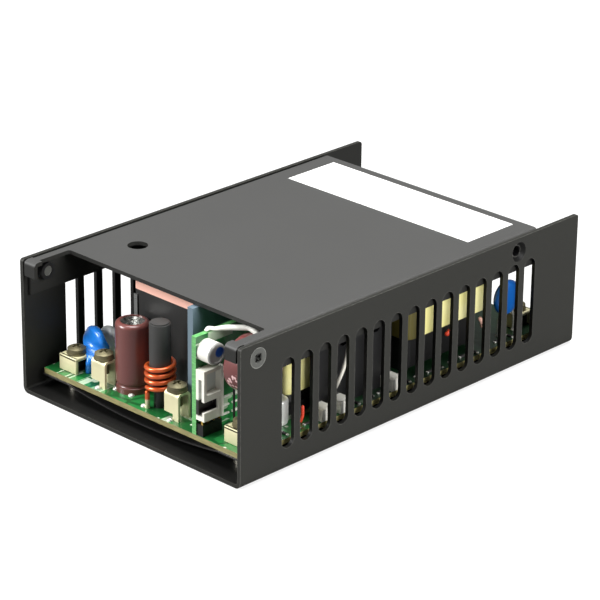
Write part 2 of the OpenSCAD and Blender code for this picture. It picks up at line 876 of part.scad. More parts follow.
// Moulded bobbin: a tube with two flanges, each standing on a rail of pins under the core
module transformer_bobbin() {
    tube_l = main_xf_l - 2 * core_plate;
    color("#1c1c1c") at_transformer() difference() {
        union() {
            translate([main_xf_w / 2, core_plate, transformer_axis_z]) rotate([-90, 0, 0]) {
                cylinder(r = centre_leg_r + 1, h = tube_l);
            }
            for (y = [core_plate, core_plate + tube_l - flange_t]) {
                translate([core_leg + fit, y, 0]) {
                    cube([main_xf_w - 2 * (core_leg + fit), flange_t, transformer_rail_h + transformer_core_h]);
                }
            }
            for (y = [0, main_xf_l - core_plate]) translate([0.5, y, 0]) {
                cube([main_xf_w - 1, core_plate, transformer_rail_h]);
            }
        }
        translate([main_xf_w / 2, 0, transformer_axis_z]) rotate([-90, 0, 0]) {
            cylinder(r = centre_leg_r + fit, h = main_xf_l);
        }
    }
}

module transformer_tape() {
    length = main_xf_l - 2 * (core_plate + flange_t);
    color("#e3cf5b") at_transformer() translate([main_xf_w / 2, core_plate + flange_t, transformer_axis_z]) {
        rotate([-90, 0, 0]) difference() {
            cylinder(r = winding_r, h = length);
            translate([0, 0, -over]) cylinder(r = centre_leg_r + 1, h = length + 2 * over);
        }
    }
}

// Spring clips that hold the core halves together along each outer leg
module transformer_clips() {
    arm_h = 4;
    bar_h = transformer_core_h - 3;
    bar_z = transformer_rail_h + 1.5;
    color("#b8b8b4") at_transformer() for (side = [0, 1]) {
        translate([side * main_xf_w, 0, 0]) mirror([side, 0, 0]) {
            for (y = [-clip_strip_t, main_xf_l]) translate([-clip_strip_t, y, bar_z]) {
                cube([clip_strip_w + clip_strip_t, clip_strip_t, bar_h]);
            }
            translate([-clip_strip_t, -clip_strip_t, transformer_axis_z - arm_h / 2]) {
                cube([clip_strip_t, main_xf_l + 2 * clip_strip_t, arm_h]);
            }
        }
    }
}

module thermal_pad() {
    color("#e8bfae") at_transformer() translate([0, 0, main_xf_h]) cube([pad_w, main_xf_l, pad_t]);
}

// --- Rectifier heatsink ---------------------------------------------------

rectifier_hole_z = rectifier_z + package_hole_z;

module output_heatsink() {
    color("#9fb0bd") difference() {
        on_board(heatsink_x, heatsink_y) {
            cube([heatsink_t, heatsink_l, cover_low_z - heatsink_gap - board_z]);
        }
        for (y = rectifier_ys) on_board(heatsink_x - over, y, rectifier_hole_z) rotate([0, 90, 0]) {
            cylinder(d = clear_d, h = heatsink_t + 2 * over);
        }
    }
}

module rectifiers() {
    color("#202022") for (y = rectifier_ys) on_board(heatsink_x + heatsink_t, y) transistor(rectifier_z);
}

module rectifier_screws() {
    nut_size = 5.4;
    grip = heatsink_t + package_tab_t;
    color("silver") for (y = rectifier_ys) on_board(heatsink_x, y, rectifier_hole_z) {
        rotate([0, -90, 0]) pan_screw(grip + 2.6);
        translate([grip, -nut_size / 2, -nut_size / 2]) difference() {
            cube([2.2, nut_size, nut_size]);
            translate([-over, nut_size / 2, nut_size / 2]) rotate([0, 90, 0]) {
                cylinder(r = thread_r, h = 2.2 + 2 * over);
            }
        }
    }
}

// --- Daughter board -------------------------------------------------------

daughter_face_x = daughter_x + board_t;

module daughter_board() {
    color("#2f9a4a") on_board(daughter_x, board_y) cube([board_t, daughter_l, daughter_h]);
}

// Shrouded connector with a keyed slot that opens at its front corner
module signal_connector() {
    wall = 1;
    color("#f1efe6") on_board(daughter_face_x, board_y, connector_z) difference() {
        cube([connector_w, connector_l, connector_h]);
        translate([wall, wall, 7.6]) cube([connector_w, connector_l - 2 * wall, connector_h - 7.6 - wall]);
        translate([wall, -over, 2.6]) cube([connector_w, 5.4 + over, 3.2]);
        translate([wall, -over, 1.2]) cube([1.2, wall + 2 * over, 11]);
    }
}

module signal_pins() {
    count = 4;
    gap = connector_z - header_h;
    color("#d9b64a") on_board(daughter_face_x + 1.6, board_y + 1, header_h) {
        for (i = [0:count - 1]) translate([-pin_w / 2, i * pin_pitch - pin_w / 2, 0]) {
            cube([pin_w, pin_w, gap]);
        }
    }
}

module pin_header() {
    color("#1e1e1e") on_board(daughter_face_x, board_y + 0.3) cube([header_w, header_l, header_h]);
}

// Low electrolytic mounted flat against the daughter board
module small_capacitor() {
    color("#ecece6") on_board(daughter_face_x, small_cap_pos[0], small_cap_pos[1]) rotate([0, 90, 0]) {
        difference() {
            rotate_extrude() {
                square([small_cap_r, small_cap_l - 0.6]);
                square([small_cap_r - 0.6, small_cap_l]);
                translate([small_cap_r - 0.6, small_cap_l - 0.6]) circle(0.6);
            }
            translate([0, 0, small_cap_l - 0.3]) cylinder(r = small_cap_r - 0.9, h = over);
        }
    }
}

// Moves to the left end of the lying capacitor, with Z along its axis
module at_lying_capacitor() {
    on_board(lying_cap_x, lying_cap_y, lying_cap_z) rotate([0, 90, 0]) children();
}

// The lying capacitor hangs on its two leads, which turn down to the main board
module lying_capacitor() {
    lead_pitch = 3.5;
    reach = 1.1;
    color("silver") {
        at_lying_capacitor() capacitor_can(lying_cap_d, lying_cap_l);
        for (y = [-lead_pitch / 2, lead_pitch / 2]) {
            on_board(lying_cap_x - reach, lying_cap_y + y) {
                cylinder(r = lead_r, h = lying_cap_z);
                translate([0, 0, lying_cap_z]) sphere(lead_r);
                translate([0, 0, lying_cap_z]) rotate([0, 90, 0]) cylinder(r = lead_r, h = reach + 0.1);
            }
        }
    }
}

module lying_capacitor_sleeve() {
    color("#5d2a2a") at_lying_capacitor() capacitor_sleeve(lying_cap_d, lying_cap_l);
}

// Bead of sealant from the daughter board's top edge over to the lying capacitor
module adhesive_bead() {
    r = 0.7;
    board_top = [daughter_x + board_t / 2, 10.4, daughter_h + r - 0.1];
    can_top = [lying_cap_x + 3.2, lying_cap_y + 2.1, lying_cap_z + lying_cap_d / 2 + r - 0.5];
    points = [
        board_top,
        board_top + [1.7, 0.8, 0.1],
        board_top + [3.2, 2.9, 0.2],
        can_top + [-5.7, 0.2, 2.2],
        can_top + [-3.1, 1, 1.9],
        can_top + [-1.2, 0.6, 1],
        can_top
    ];
    color("#f0f0ea") difference() {
        from_front(0, 0, board_z) wire(points, r, [0, 0, 1], 12);
        at_lying_capacitor() can_body(lying_cap_d / 2 - sleeve_t, lying_cap_l - sleeve_t, sleeve_t);
        on_board(daughter_x, board_y) cube([board_t, daughter_l, daughter_h]);
    }
}

// --- Right-hand side ------------------------------------------------------

module silver_capacitor() {
    base = silver_cap_d + 0.3;
    base_h = 1;
    color("#c9ccce") on_board(silver_cap_pos[0], silver_cap_pos[1]) {
        rounded_block(base, base, base_h, 0.8);
        translate([0, 0, base_h]) can_body(silver_cap_d / 2, silver_cap_h - base_h);
    }
}

standby_window = [standby_core[1] - 4.6, standby_core[2] - 5];

// Closed core frame that stands along the board, with a middle leg through the winding
module standby_transformer_core() {
    color("#303032") on_board(standby_pos[0], standby_pos[1], standby_foot_h) {
        translate([-standby_core[0] / 2, 0, 0]) towards_right(standby_core[0]) {
            difference() {
                translate([-standby_core[1] / 2, 0]) square([standby_core[1], standby_core[2]]);
                translate([-standby_window[0] / 2, 2.5]) square(standby_window);
            }
            translate([-2, 0]) square([4, standby_core[2]]);
        }
    }
}

module standby_transformer_foot() {
    color("#1c1c1c") on_board(standby_pos[0] - standby_tape[0] / 2, standby_pos[1] - standby_core[1] / 2) {
        cube([standby_tape[0], standby_core[1], standby_foot_h]);
    }
}

module standby_transformer_tape() {
    z = standby_foot_h + (standby_core[2] - standby_tape[2]) / 2;
    color("#e6d65c") on_board(standby_pos[0], standby_pos[1], z) difference() {
        rounded_block(standby_tape[0], standby_tape[1], standby_tape[2], 2);
        translate([-standby_core[0] / 2 - fit, -2 - fit, -over]) {
            cube([standby_core[0] + 2 * fit, 4 + 2 * fit, standby_tape[2] + 2 * over]);
        }
    }
}

module side_heatsink() {
    color("#232325") difference() {
        on_board(side_sink_x, side_sink_y) cube([side_sink_t, side_sink_l, side_sink_h]);
        for (y = side_transistor_ys) on_board(side_sink_x - over, y, rectifier_hole_z) rotate([0, 90, 0]) {
            cylinder(d = clear_d, h = side_sink_t + 2 * over);
        }
    }
}

module side_transistors() {
    color("#202022") for (y = side_transistor_ys) {
        on_board(side_sink_x, y) mirror([1, 0, 0]) transistor(rectifier_z);
    }
}

module optocouplers() {
    color("#eceae2") for (y = opto_ys) {
        on_board(opto_x - opto_size[0] / 2, y - opto_size[1] / 2) cube(opto_size);
    }
}

module jumper_wire() {
    outer_x = side_sink_x + side_sink_t;
    points = [for (p = jumper_points) [outer_x + p[0], p[1], p[2]]];
    color("#d9d6cc") from_front(0, 0, board_z) wire(points, jumper_r, [1, 0, 0]);
}

// --- Input choke ----------------------------------------------------------

module at_pfc_choke() {
    on_board(pfc_x, pfc_y) children();
}

// Core block that stands on the bobbin's rail
module pfc_choke_core() {
    h = pfc_h - pfc_rail_h;
    bevel_h = 1;
    color("#3a3a3a") at_pfc_choke() translate([0, 0, pfc_rail_h]) {
        choke_block(tape_t, h - bevel_h);
        choke_block(tape_t + bevel_h, h);
    }
}

// Block with the choke's plan, drawn in by an inset all round
module choke_block(inset, h) {
    r = max(pfc_corner_r - inset, 0.5);
    translate([pfc_w / 2, pfc_l / 2, 0]) rounded_block(pfc_w - 2 * inset, pfc_l - 2 * inset, h, r);
}

// Moulded rail with a row of pins' feet along each end
module pfc_choke_bobbin() {
    foot_h = 1.5;
    foot_l = 3;
    color("#1c1c1c") at_pfc_choke() {
        translate([0, 0, foot_h]) choke_block(1, pfc_rail_h - foot_h);
        for (y = [1, pfc_l - 1 - foot_l]) translate([3, y, 0]) cube([pfc_w - 6, foot_l, foot_h + 0.5]);
    }
}

module pfc_choke_tape() {
    h = pfc_h - pfc_rail_h - 1;
    color("#e6d65c") at_pfc_choke() translate([0, 0, pfc_rail_h]) difference() {
        choke_block(0, h);
        translate([0, 0, -over]) choke_block(tape_t, h + 2 * over);
    }
}

// --- Input end ------------------------------------------------------------

module bulk_capacitor() {
    color("silver") on_board(bulk_pos[0], bulk_pos[1]) capacitor_can(bulk_d, bulk_h);
}

module bulk_capacitor_sleeve() {
    color("#26262a") on_board(bulk_pos[0], bulk_pos[1]) capacitor_sleeve(bulk_d, bulk_h);
}

module bridge_heatsink() {
    color("#9fb0bd") on_board(bridge_sink_pos[0], bridge_sink_pos[1]) cube(bridge_sink);
}

module bridge_rectifier() {
    lift = 6;
    color("#202022") on_board(bridge_sink_pos[0] + bridge_sink[0], bridge_sink_pos[1] + 4) {
        translate([0, 0, lift]) cube(bridge);
        for (i = [0:3]) translate([1.6, 2 + i * 5.7, 0]) cube([0.8, 0.9, lift]);
    }
}

module film_capacitor() {
    color("#d8c23c") on_board(film_cap_pos[0], film_cap_pos[1]) {
        rounded_block(film_cap[0], film_cap[1], film_cap[2], 0.8);
    }
}

module line_filter_core() {
    color("#3c4a3f") on_board(ring_pos[0], ring_pos[1], ring_wire + fit) rotate_extrude() {
        translate([ring_hole_r, 0]) square([ring_d / 2 - ring_hole_r, ring_t]);
    }
}

// One turn of wire round the ring's section, in the plane of a radius
module ring_turn() {
    w = ring_d / 2 - ring_hole_r + 2 * fit;
    rotate([90, 0, 0]) translate([ring_hole_r - fit, 0, -ring_wire / 2]) linear_extrude(ring_wire) {
        difference() {
            translate([-ring_wire, 0]) square([w + 2 * ring_wire, ring_t + 2 * (fit + ring_wire)]);
            translate([0, ring_wire]) square([w, ring_t + 2 * fit]);
        }
    }
}

module line_filter_windings() {
    step = 15;
    color("#b5622f") on_board(ring_pos[0], ring_pos[1]) for (side = [0, 180], i = [0:ring_turns - 1]) {
        rotate([0, 0, side + (i - (ring_turns - 1) / 2) * step]) ring_turn();
    }
}

module fuse() {
    color("#e4e4dc") on_board(fuse_pos[0] - fuse_l / 2, fuse_pos[1], fuse_lift) rotate([0, 90, 0]) {
        cylinder(r = fuse_r - 0.3, h = fuse_l);
        for (x = [0, fuse_l - fuse_cap_l]) translate([0, 0, x]) cylinder(r = fuse_r, h = fuse_cap_l);
    }
}

// Two spring clips; each cradles one end cap from below
module fuse_clips() {
    width = fuse_cap_l - 1;
    outer = fuse_r + fit + fuse_clip_t;
    color("#c9b37a") for (x = [-fuse_l / 2 + 0.5, fuse_l / 2 - 0.5 - width]) {
        on_board(fuse_pos[0] + x, fuse_pos[1]) towards_right(width) difference() {
            union() {
                translate([0, fuse_lift]) circle(outer);
                translate([-1, 0]) square([2, fuse_lift]);
            }
            translate([0, fuse_lift]) circle(fuse_r + fit);
            translate([-1.6, fuse_lift]) square([3.2, outer + over]);
        }
    }
}

// --- Drawing --------------------------------------------------------------

chassis();
base_nuts();
standoffs();
insulator_film();
main_board();
corner_posts();
board_screws();
top_cover();
cover_nuts();
cover_screws();
label();
output_terminal_left();
output_terminal_right();
input_terminal_left();
input_terminal_right();
terminal_screws();
output_capacitor();
output_capacitor_sleeve();
rod_choke_core();
rod_choke_winding();
rod_choke_foot();
blue_disc_capacitor();
grey_disc_capacitor();
rear_disc_capacitor();
transformer_core();
transformer_bobbin();
transformer_tape();
transformer_clips();
thermal_pad();
output_heatsink();
rectifiers();
rectifier_screws();
daughter_board();
signal_connector();
signal_pins();
pin_header();
small_capacitor();
lying_capacitor();
lying_capacitor_sleeve();
adhesive_bead();
silver_capacitor();
standby_transformer_core();
standby_transformer_foot();
standby_transformer_tape();
side_heatsink();
side_transistors();
optocouplers();
jumper_wire();
pfc_choke_core();
pfc_choke_bobbin();
pfc_choke_tape();
bulk_capacitor();
bulk_capacitor_sleeve();
bridge_heatsink();
bridge_rectifier();
film_capacitor();
line_filter_core();
line_filter_windings();
fuse();
fuse_clips();
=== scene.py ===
"""Open frame power supply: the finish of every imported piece, and the small parts soldered to its boards.

Everything is in metres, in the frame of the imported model: X across, Y from the open output end to the input
end, Z up from the underside of the chassis.
"""

import math

import bmesh
import bpy
import numpy as np
from mathutils import Matrix, Vector


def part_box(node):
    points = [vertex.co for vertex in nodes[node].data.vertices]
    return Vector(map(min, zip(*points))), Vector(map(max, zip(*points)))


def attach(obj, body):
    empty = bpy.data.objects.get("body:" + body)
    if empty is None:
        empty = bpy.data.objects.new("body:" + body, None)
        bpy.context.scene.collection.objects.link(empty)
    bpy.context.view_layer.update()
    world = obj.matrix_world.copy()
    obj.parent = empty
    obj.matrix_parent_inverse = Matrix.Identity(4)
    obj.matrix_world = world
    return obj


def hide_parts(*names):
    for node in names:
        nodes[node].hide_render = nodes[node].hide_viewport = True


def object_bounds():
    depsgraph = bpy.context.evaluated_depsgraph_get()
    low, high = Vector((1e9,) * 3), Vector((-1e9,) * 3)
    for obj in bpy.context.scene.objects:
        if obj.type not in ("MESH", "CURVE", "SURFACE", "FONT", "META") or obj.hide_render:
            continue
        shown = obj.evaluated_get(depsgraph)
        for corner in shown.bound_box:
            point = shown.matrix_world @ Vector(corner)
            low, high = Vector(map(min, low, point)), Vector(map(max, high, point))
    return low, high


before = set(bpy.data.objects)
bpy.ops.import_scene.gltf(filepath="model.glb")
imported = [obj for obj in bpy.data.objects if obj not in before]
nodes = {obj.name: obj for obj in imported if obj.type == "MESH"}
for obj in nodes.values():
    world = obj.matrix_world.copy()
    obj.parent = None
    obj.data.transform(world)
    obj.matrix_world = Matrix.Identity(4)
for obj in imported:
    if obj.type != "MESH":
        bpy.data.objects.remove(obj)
cad_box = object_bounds()
MM = 0.001

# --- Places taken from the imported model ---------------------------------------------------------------


def corners(box):
    """The low and the high corner of a box, as arrays."""
    return (np.array(corner) for corner in box)


LOW, HIGH = corners(cad_box)
_, BOARD_HIGH = corners(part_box("main_board"))
BOARD_TOP = BOARD_HIGH[2]
FRONT = LOW[1]

# Where the chassis coat changes, each as the start and end of the change: the floor's upper face, the
# walls' top edge above the underside, and the rims of the walls measured in from each end
FLOOR_ZONE = (0.0035, 0.0030)
WALL_TOP = (0.0404, 0.0401)
WALL_RIM = (0.003, 0.004)


# --- Shader groups ------------------------------------------------------------------------------------


def new_group(name, inputs, outputs):
    """A shader node group with those named sockets. Each input is (name, kind, default)."""
    group = bpy.data.node_groups.new(name, "ShaderNodeTree")
    for label, kind, default in inputs:
        socket = group.interface.new_socket(name=label, in_out="INPUT", socket_type=kind)
        if default is not None:
            socket.default_value = default
    for label, kind in outputs:
        group.interface.new_socket(name=label, in_out="OUTPUT", socket_type=kind)
    source = group.nodes.new("NodeGroupInput")
    sink = group.nodes.new("NodeGroupOutput")
    return group, source.outputs, sink.inputs


def put(tree, kind, inputs=None, **settings):
    """Adds a node; inputs maps a socket's name or number to a value or to another node's output."""
    node = tree.nodes.new(kind)
    for key, value in settings.items():
        setattr(node, key, value)
    for key, value in (inputs or {}).items():
        socket = node.inputs[key]
        if isinstance(value, bpy.types.NodeSocket):
            tree.links.new(value, socket)
        else:
            socket.default_value = value
    return node


def maths(tree, operation, first, second=0.0, clamp=False):
    """One Math node's output."""
    return put(tree, "ShaderNodeMath", {0: first, 1: second}, operation=operation, use_clamp=clamp).outputs[0]


def blend(tree, factor, first, second, mode="MIX"):
    """A colour between first and second."""
    node = put(tree, "ShaderNodeMix", data_type="RGBA", blend_type=mode, clamp_factor=True)
    for key, value in ((0, factor), (6, first), (7, second)):
        if isinstance(value, bpy.types.NodeSocket):
            tree.links.new(value, node.inputs[key])
        else:
            node.inputs[key].default_value = value
    return node.outputs[2]


def remap(tree, value, low, high, to_low=0.0, to_high=1.0):
    """value carried from low..high to to_low..to_high, and held there."""
    return put(tree, "ShaderNodeMapRange", {0: value, 1: low, 2: high, 3: to_low, 4: to_high}).outputs[0]


def object_place(tree):
    """The place on the object, in metres."""
    return put(tree, "ShaderNodeTexCoord").outputs["Object"]


def scaled_place(tree, scale):
    """The place on the object with each axis multiplied by its own number."""
    return put(tree, "ShaderNodeMapping", {"Vector": object_place(tree), "Scale": scale}).outputs[0]


def make_grain():
    """Fine grain and broad cloudiness: a colour varied by both, and a bumped normal."""
    group, given, out = new_group(
        "Grain",
        [
            ("Color", "NodeSocketColor", (0.5, 0.5, 0.5, 1)),
            ("Grain size", "NodeSocketFloat", 0.0004),
            ("Colour change", "NodeSocketFloat", 0.1),
            ("Cloudiness", "NodeSocketFloat", 0.1),
            ("Bump", "NodeSocketFloat", 0.1),
            ("Roughness", "NodeSocketFloat", 0.5),
            ("Roughness change", "NodeSocketFloat", 0.08),
        ],
        [("Color", "NodeSocketColor"), ("Normal", "NodeSocketVector"), ("Roughness", "NodeSocketFloat")],
    )
    place = object_place(group)
    frequency = maths(group, "DIVIDE", 1.0, given["Grain size"])
    fine = put(group, "ShaderNodeTexNoise", {"Vector": place, "Scale": frequency, "Detail": 2.0}).outputs[0]
    broad = put(group, "ShaderNodeTexNoise", {"Vector": place, "Scale": 45.0, "Detail": 3.0}).outputs[0]
    fine_signed = maths(group, "MULTIPLY", maths(group, "SUBTRACT", fine, 0.5), given["Colour change"])
    broad_signed = maths(group, "MULTIPLY", maths(group, "SUBTRACT", broad, 0.5), given["Cloudiness"])
    gain = maths(group, "ADD", 1.0, maths(group, "ADD", fine_signed, broad_signed))
    scaled = put(group, "ShaderNodeVectorMath", {0: given["Color"]}, operation="SCALE")
    group.links.new(gain, scaled.inputs["Scale"])
    group.links.new(scaled.outputs[0], out["Color"])
    depth = maths(group, "MULTIPLY", given["Grain size"], 0.3)
    bump = put(group, "ShaderNodeBump", {"Strength": given["Bump"], "Distance": depth, "Height": fine})
    group.links.new(bump.outputs[0], out["Normal"])
    rough = maths(group, "MULTIPLY", maths(group, "SUBTRACT", fine, 0.5), given["Roughness change"])
    group.links.new(maths(group, "ADD", given["Roughness"], rough, clamp=True), out["Roughness"])
    return group


def make_edge_wear_and_highlight():
    """Mask of the sharp outer edges, broken up by noise: 1 on an edge paled as wear and as painted highlight, 0
    elsewhere.
    """
    group, given, out = new_group(
        "Edge wear and highlight",
        [("Width", "NodeSocketFloat", 0.0003), ("Amount", "NodeSocketFloat", 1.0)],
        [("Mask", "NodeSocketFloat")],
    )
    rounded = put(group, "ShaderNodeBevel", {"Radius": given["Width"]}, samples=4).outputs[0]
    flat = put(group, "ShaderNodeNewGeometry").outputs["Normal"]
    likeness = put(group, "ShaderNodeVectorMath", {0: rounded, 1: flat},
                   operation="DOT_PRODUCT").outputs["Value"]
    edge = remap(group, likeness, 0.98, 0.80)
    broken = put(group, "ShaderNodeTexNoise", {"Vector": object_place(group), "Scale": 900.0}).outputs[0]
    patchy = remap(group, broken, 0.35, 0.6, 0.4, 1.0)
    group.links.new(maths(group, "MULTIPLY", maths(group, "MULTIPLY", edge, patchy), given["Amount"]),
                    out["Mask"])
    return group


GRAIN = make_grain()
EDGE_WEAR_AND_HIGHLIGHT = make_edge_wear_and_highlight()


# --- Materials ----------------------------------------------------------------------------------------


class Finish:
    """A material in the making: its tree, its Principled shader and short ways to add nodes."""

    def __init__(self, name, **constants):
        self.material = bpy.data.materials.new(name)
        self.material.use_nodes = True
        self.tree = self.material.node_tree
        self.shader = self.tree.nodes["Principled BSDF"]
        for label, value in constants.items():
            self.shader.inputs[label.replace("_", " ")].default_value = value

    def group(self, group, **inputs):
        """Places a shader group with its own values."""
        node = self.tree.nodes.new("ShaderNodeGroup")
        node.node_tree = group
        for label, value in inputs.items():
            socket = node.inputs[label.replace("_", " ")]
            if isinstance(value, bpy.types.NodeSocket):
                self.tree.links.new(value, socket)
            else:
                socket.default_value = value
        return node.outputs

    def feed(self, **outputs):
        """Links outputs to the shader's sockets."""
        for label, value in outputs.items():
            self.tree.links.new(value, self.shader.inputs[label.replace("_", " ")])

    def done(self, shade, grain):
        """The material, with its colour from shade and its roughness and normal from grain."""
        self.feed(Base_Color=shade, Roughness=grain["Roughness"], Normal=grain["Normal"])
        return self.material


def rgb(r, g, b):
    """A linear colour from 0 to 255 screen values."""
    def linear(v):
        v = v / 255
        return v / 12.92 if v <= 0.04045 else ((v + 0.055) / 1.055) ** 2.4
    return (linear(r), linear(g), linear(b), 1.0)


def grained(name, color, size=0.0004, change=0.1, cloud=0.1, bump=0.1, rough=0.5, rough_change=0.08,
            wear_and_highlight=None, wear_width=0.0003, wear_amount=1.0, **constants):
    """A finish with grain, and, if an edge colour is given, edges paled to it as wear and painted highlight."""
    finish = Finish(name, **constants)
    grain = finish.group(GRAIN, Color=color, Grain_size=size, Colour_change=change, Cloudiness=cloud,
                         Bump=bump,
                         Roughness=rough, Roughness_change=rough_change)
    shade = grain["Color"]
    if wear_and_highlight:
        mask = finish.group(EDGE_WEAR_AND_HIGHLIGHT, Width=wear_width, Amount=wear_amount)["Mask"]
        shade = blend(finish.tree, mask, shade, wear_and_highlight)
    return finish.done(shade, grain)


def axis_mask(tree, axis, low, high, fold=False):
    """0 below low and 1 above high, in metres along an axis; fold takes the distance from the middle."""
    value = put(tree, "ShaderNodeSeparateXYZ", {0: object_place(tree)}).outputs[axis]
    if fold:
        value = maths(tree, "ABSOLUTE", value)
    return remap(tree, value, low, high)


def facing(tree, axis):
    """How far the surface faces along an axis: 1 along it, -1 against it."""
    return put(tree, "ShaderNodeSeparateXYZ",
               {0: put(tree, "ShaderNodeNewGeometry").outputs["Normal"]}).outputs[axis]


def coat(name, color, wear_and_highlight, seam=None, wall=None, folded=None, **constants):
    """Satin powder coat, paler along its edges, partly as wear and partly as painted highlight.

    seam is (start, end, colour) of painted shade towards both sides, in the seam where the cover meets the
    walls.
    wall is the inner face of the side walls: inside it the inward faces get painted shade, and the cut edges of
    the openings and the floor's upper face get a deeper painted shade. folded is painted shade on upright faces.
    """
    finish = Finish(name, **constants)
    tree = finish.tree
    grain = finish.group(GRAIN, Color=color, Grain_size=0.00022, Colour_change=0.22, Cloudiness=0.10,
                         Bump=0.30,
                         Roughness=0.47, Roughness_change=0.08)
    # Edges paled to the second colour: partly wear, partly painted highlight.
    mask = finish.group(EDGE_WEAR_AND_HIGHLIGHT, Width=0.00028, Amount=0.8)["Mask"]
    shade = blend(tree, mask, grain["Color"], wear_and_highlight)
    if seam:
        # Painted shade: darker towards both sides, in the seam where the cover meets the walls.
        shade = blend(tree, axis_mask(tree, "X", seam[0], seam[1], fold=True), shade, seam[2])
    if folded:
        # Painted shade: the cover's upright faces, its flanges and tabs, darker.
        shade = blend(tree, remap(tree, maths(tree, "ABSOLUTE", facing(tree, "Z")), 0.6, 0.3), shade, folded)
    if wall:
        # Painted shade: the floor's upper face inside the chassis, nearly black.
        low_floor = maths(tree, "MULTIPLY", axis_mask(tree, "Z", LOW[2] + FLOOR_ZONE[0],
                                                      LOW[2] + FLOOR_ZONE[1]),
                          remap(tree, facing(tree, "Z"), 0.5, 0.7))
        shade = blend(tree, low_floor, shade, PAINTED_DEEP_SHADE)
        place = put(tree, "ShaderNodeSeparateXYZ", {0: object_place(tree)})
        inward = maths(tree, "MULTIPLY", maths(tree, "MULTIPLY", facing(tree, "X"),
                                               maths(tree, "SIGN", place.outputs["X"])), -1.0)
        # Painted shade: faces that look inward, towards the middle, darker.
        shade = blend(tree, remap(tree, inward, 0.5, 0.7), shade, PAINTED_INNER_SHADE)
        # Painted shade: the cut edges of the wall openings, nearly black.
        cut = maths(tree, "MULTIPLY", axis_mask(tree, "X", wall + 0.00001, wall + 0.00005, fold=True),
                    remap(tree, maths(tree, "ABSOLUTE", facing(tree, "X")), 0.90, 0.75))
        inside = maths(tree, "MULTIPLY", axis_mask(tree, "Z", LOW[2] + WALL_TOP[0], LOW[2] + WALL_TOP[1]),
                       axis_mask(tree, "Y", HIGH[1] - WALL_RIM[0], HIGH[1] - WALL_RIM[1]))
        for axis, edge in (("Y", LOW[1]), ("Z", LOW[2])):
            inside = maths(tree, "MULTIPLY", inside,
                           axis_mask(tree, axis, edge + WALL_RIM[0], edge + WALL_RIM[1]))
        shade = blend(tree, maths(tree, "MULTIPLY", cut, inside), shade, PAINTED_DEEP_SHADE)
    return finish.done(shade, grain)


def film_finish():
    """Glossy black film with shallow waves."""
    finish = Finish("black_film", Specular_IOR_Level=0.5)
    grain = finish.group(GRAIN, Color=rgb(26, 25, 25), Grain_size=0.0006, Colour_change=0.2, Cloudiness=0.3,
                         Bump=0.08, Roughness=0.22, Roughness_change=0.1)
    return finish.done(grain["Color"], grain)


def plated(name, color, rough=0.25, streak=0.12, metallic=1.0):
    """Plated metal with a drawn grain and slight staining."""
    finish = Finish(name, Metallic=metallic)
    place = scaled_place(finish.tree, (1.0, 1.0, 7.0))
    lines = put(finish.tree, "ShaderNodeTexNoise",
                {"Vector": place, "Scale": 900.0, "Detail": 3.0}).outputs[0]
    stain = put(finish.tree, "ShaderNodeTexNoise",
                {"Vector": object_place(finish.tree), "Scale": 260.0, "Detail": 2.0}).outputs[0]
    gain = remap(finish.tree, stain, 0.3, 0.7, 1.0 - streak, 1.0 + streak)
    shade = put(finish.tree, "ShaderNodeVectorMath", {0: color[:3]}, operation="SCALE")
    finish.tree.links.new(gain, shade.inputs["Scale"])
    bump = put(finish.tree, "ShaderNodeBump",
               {"Strength": 0.25, "Distance": 0.00004, "Height": lines}).outputs[0]
    roughness = remap(finish.tree, lines, 0.3, 0.7, rough * 0.8, rough * 1.25)
    finish.feed(Base_Color=shade.outputs[0], Roughness=roughness, Normal=bump)
    return finish.material


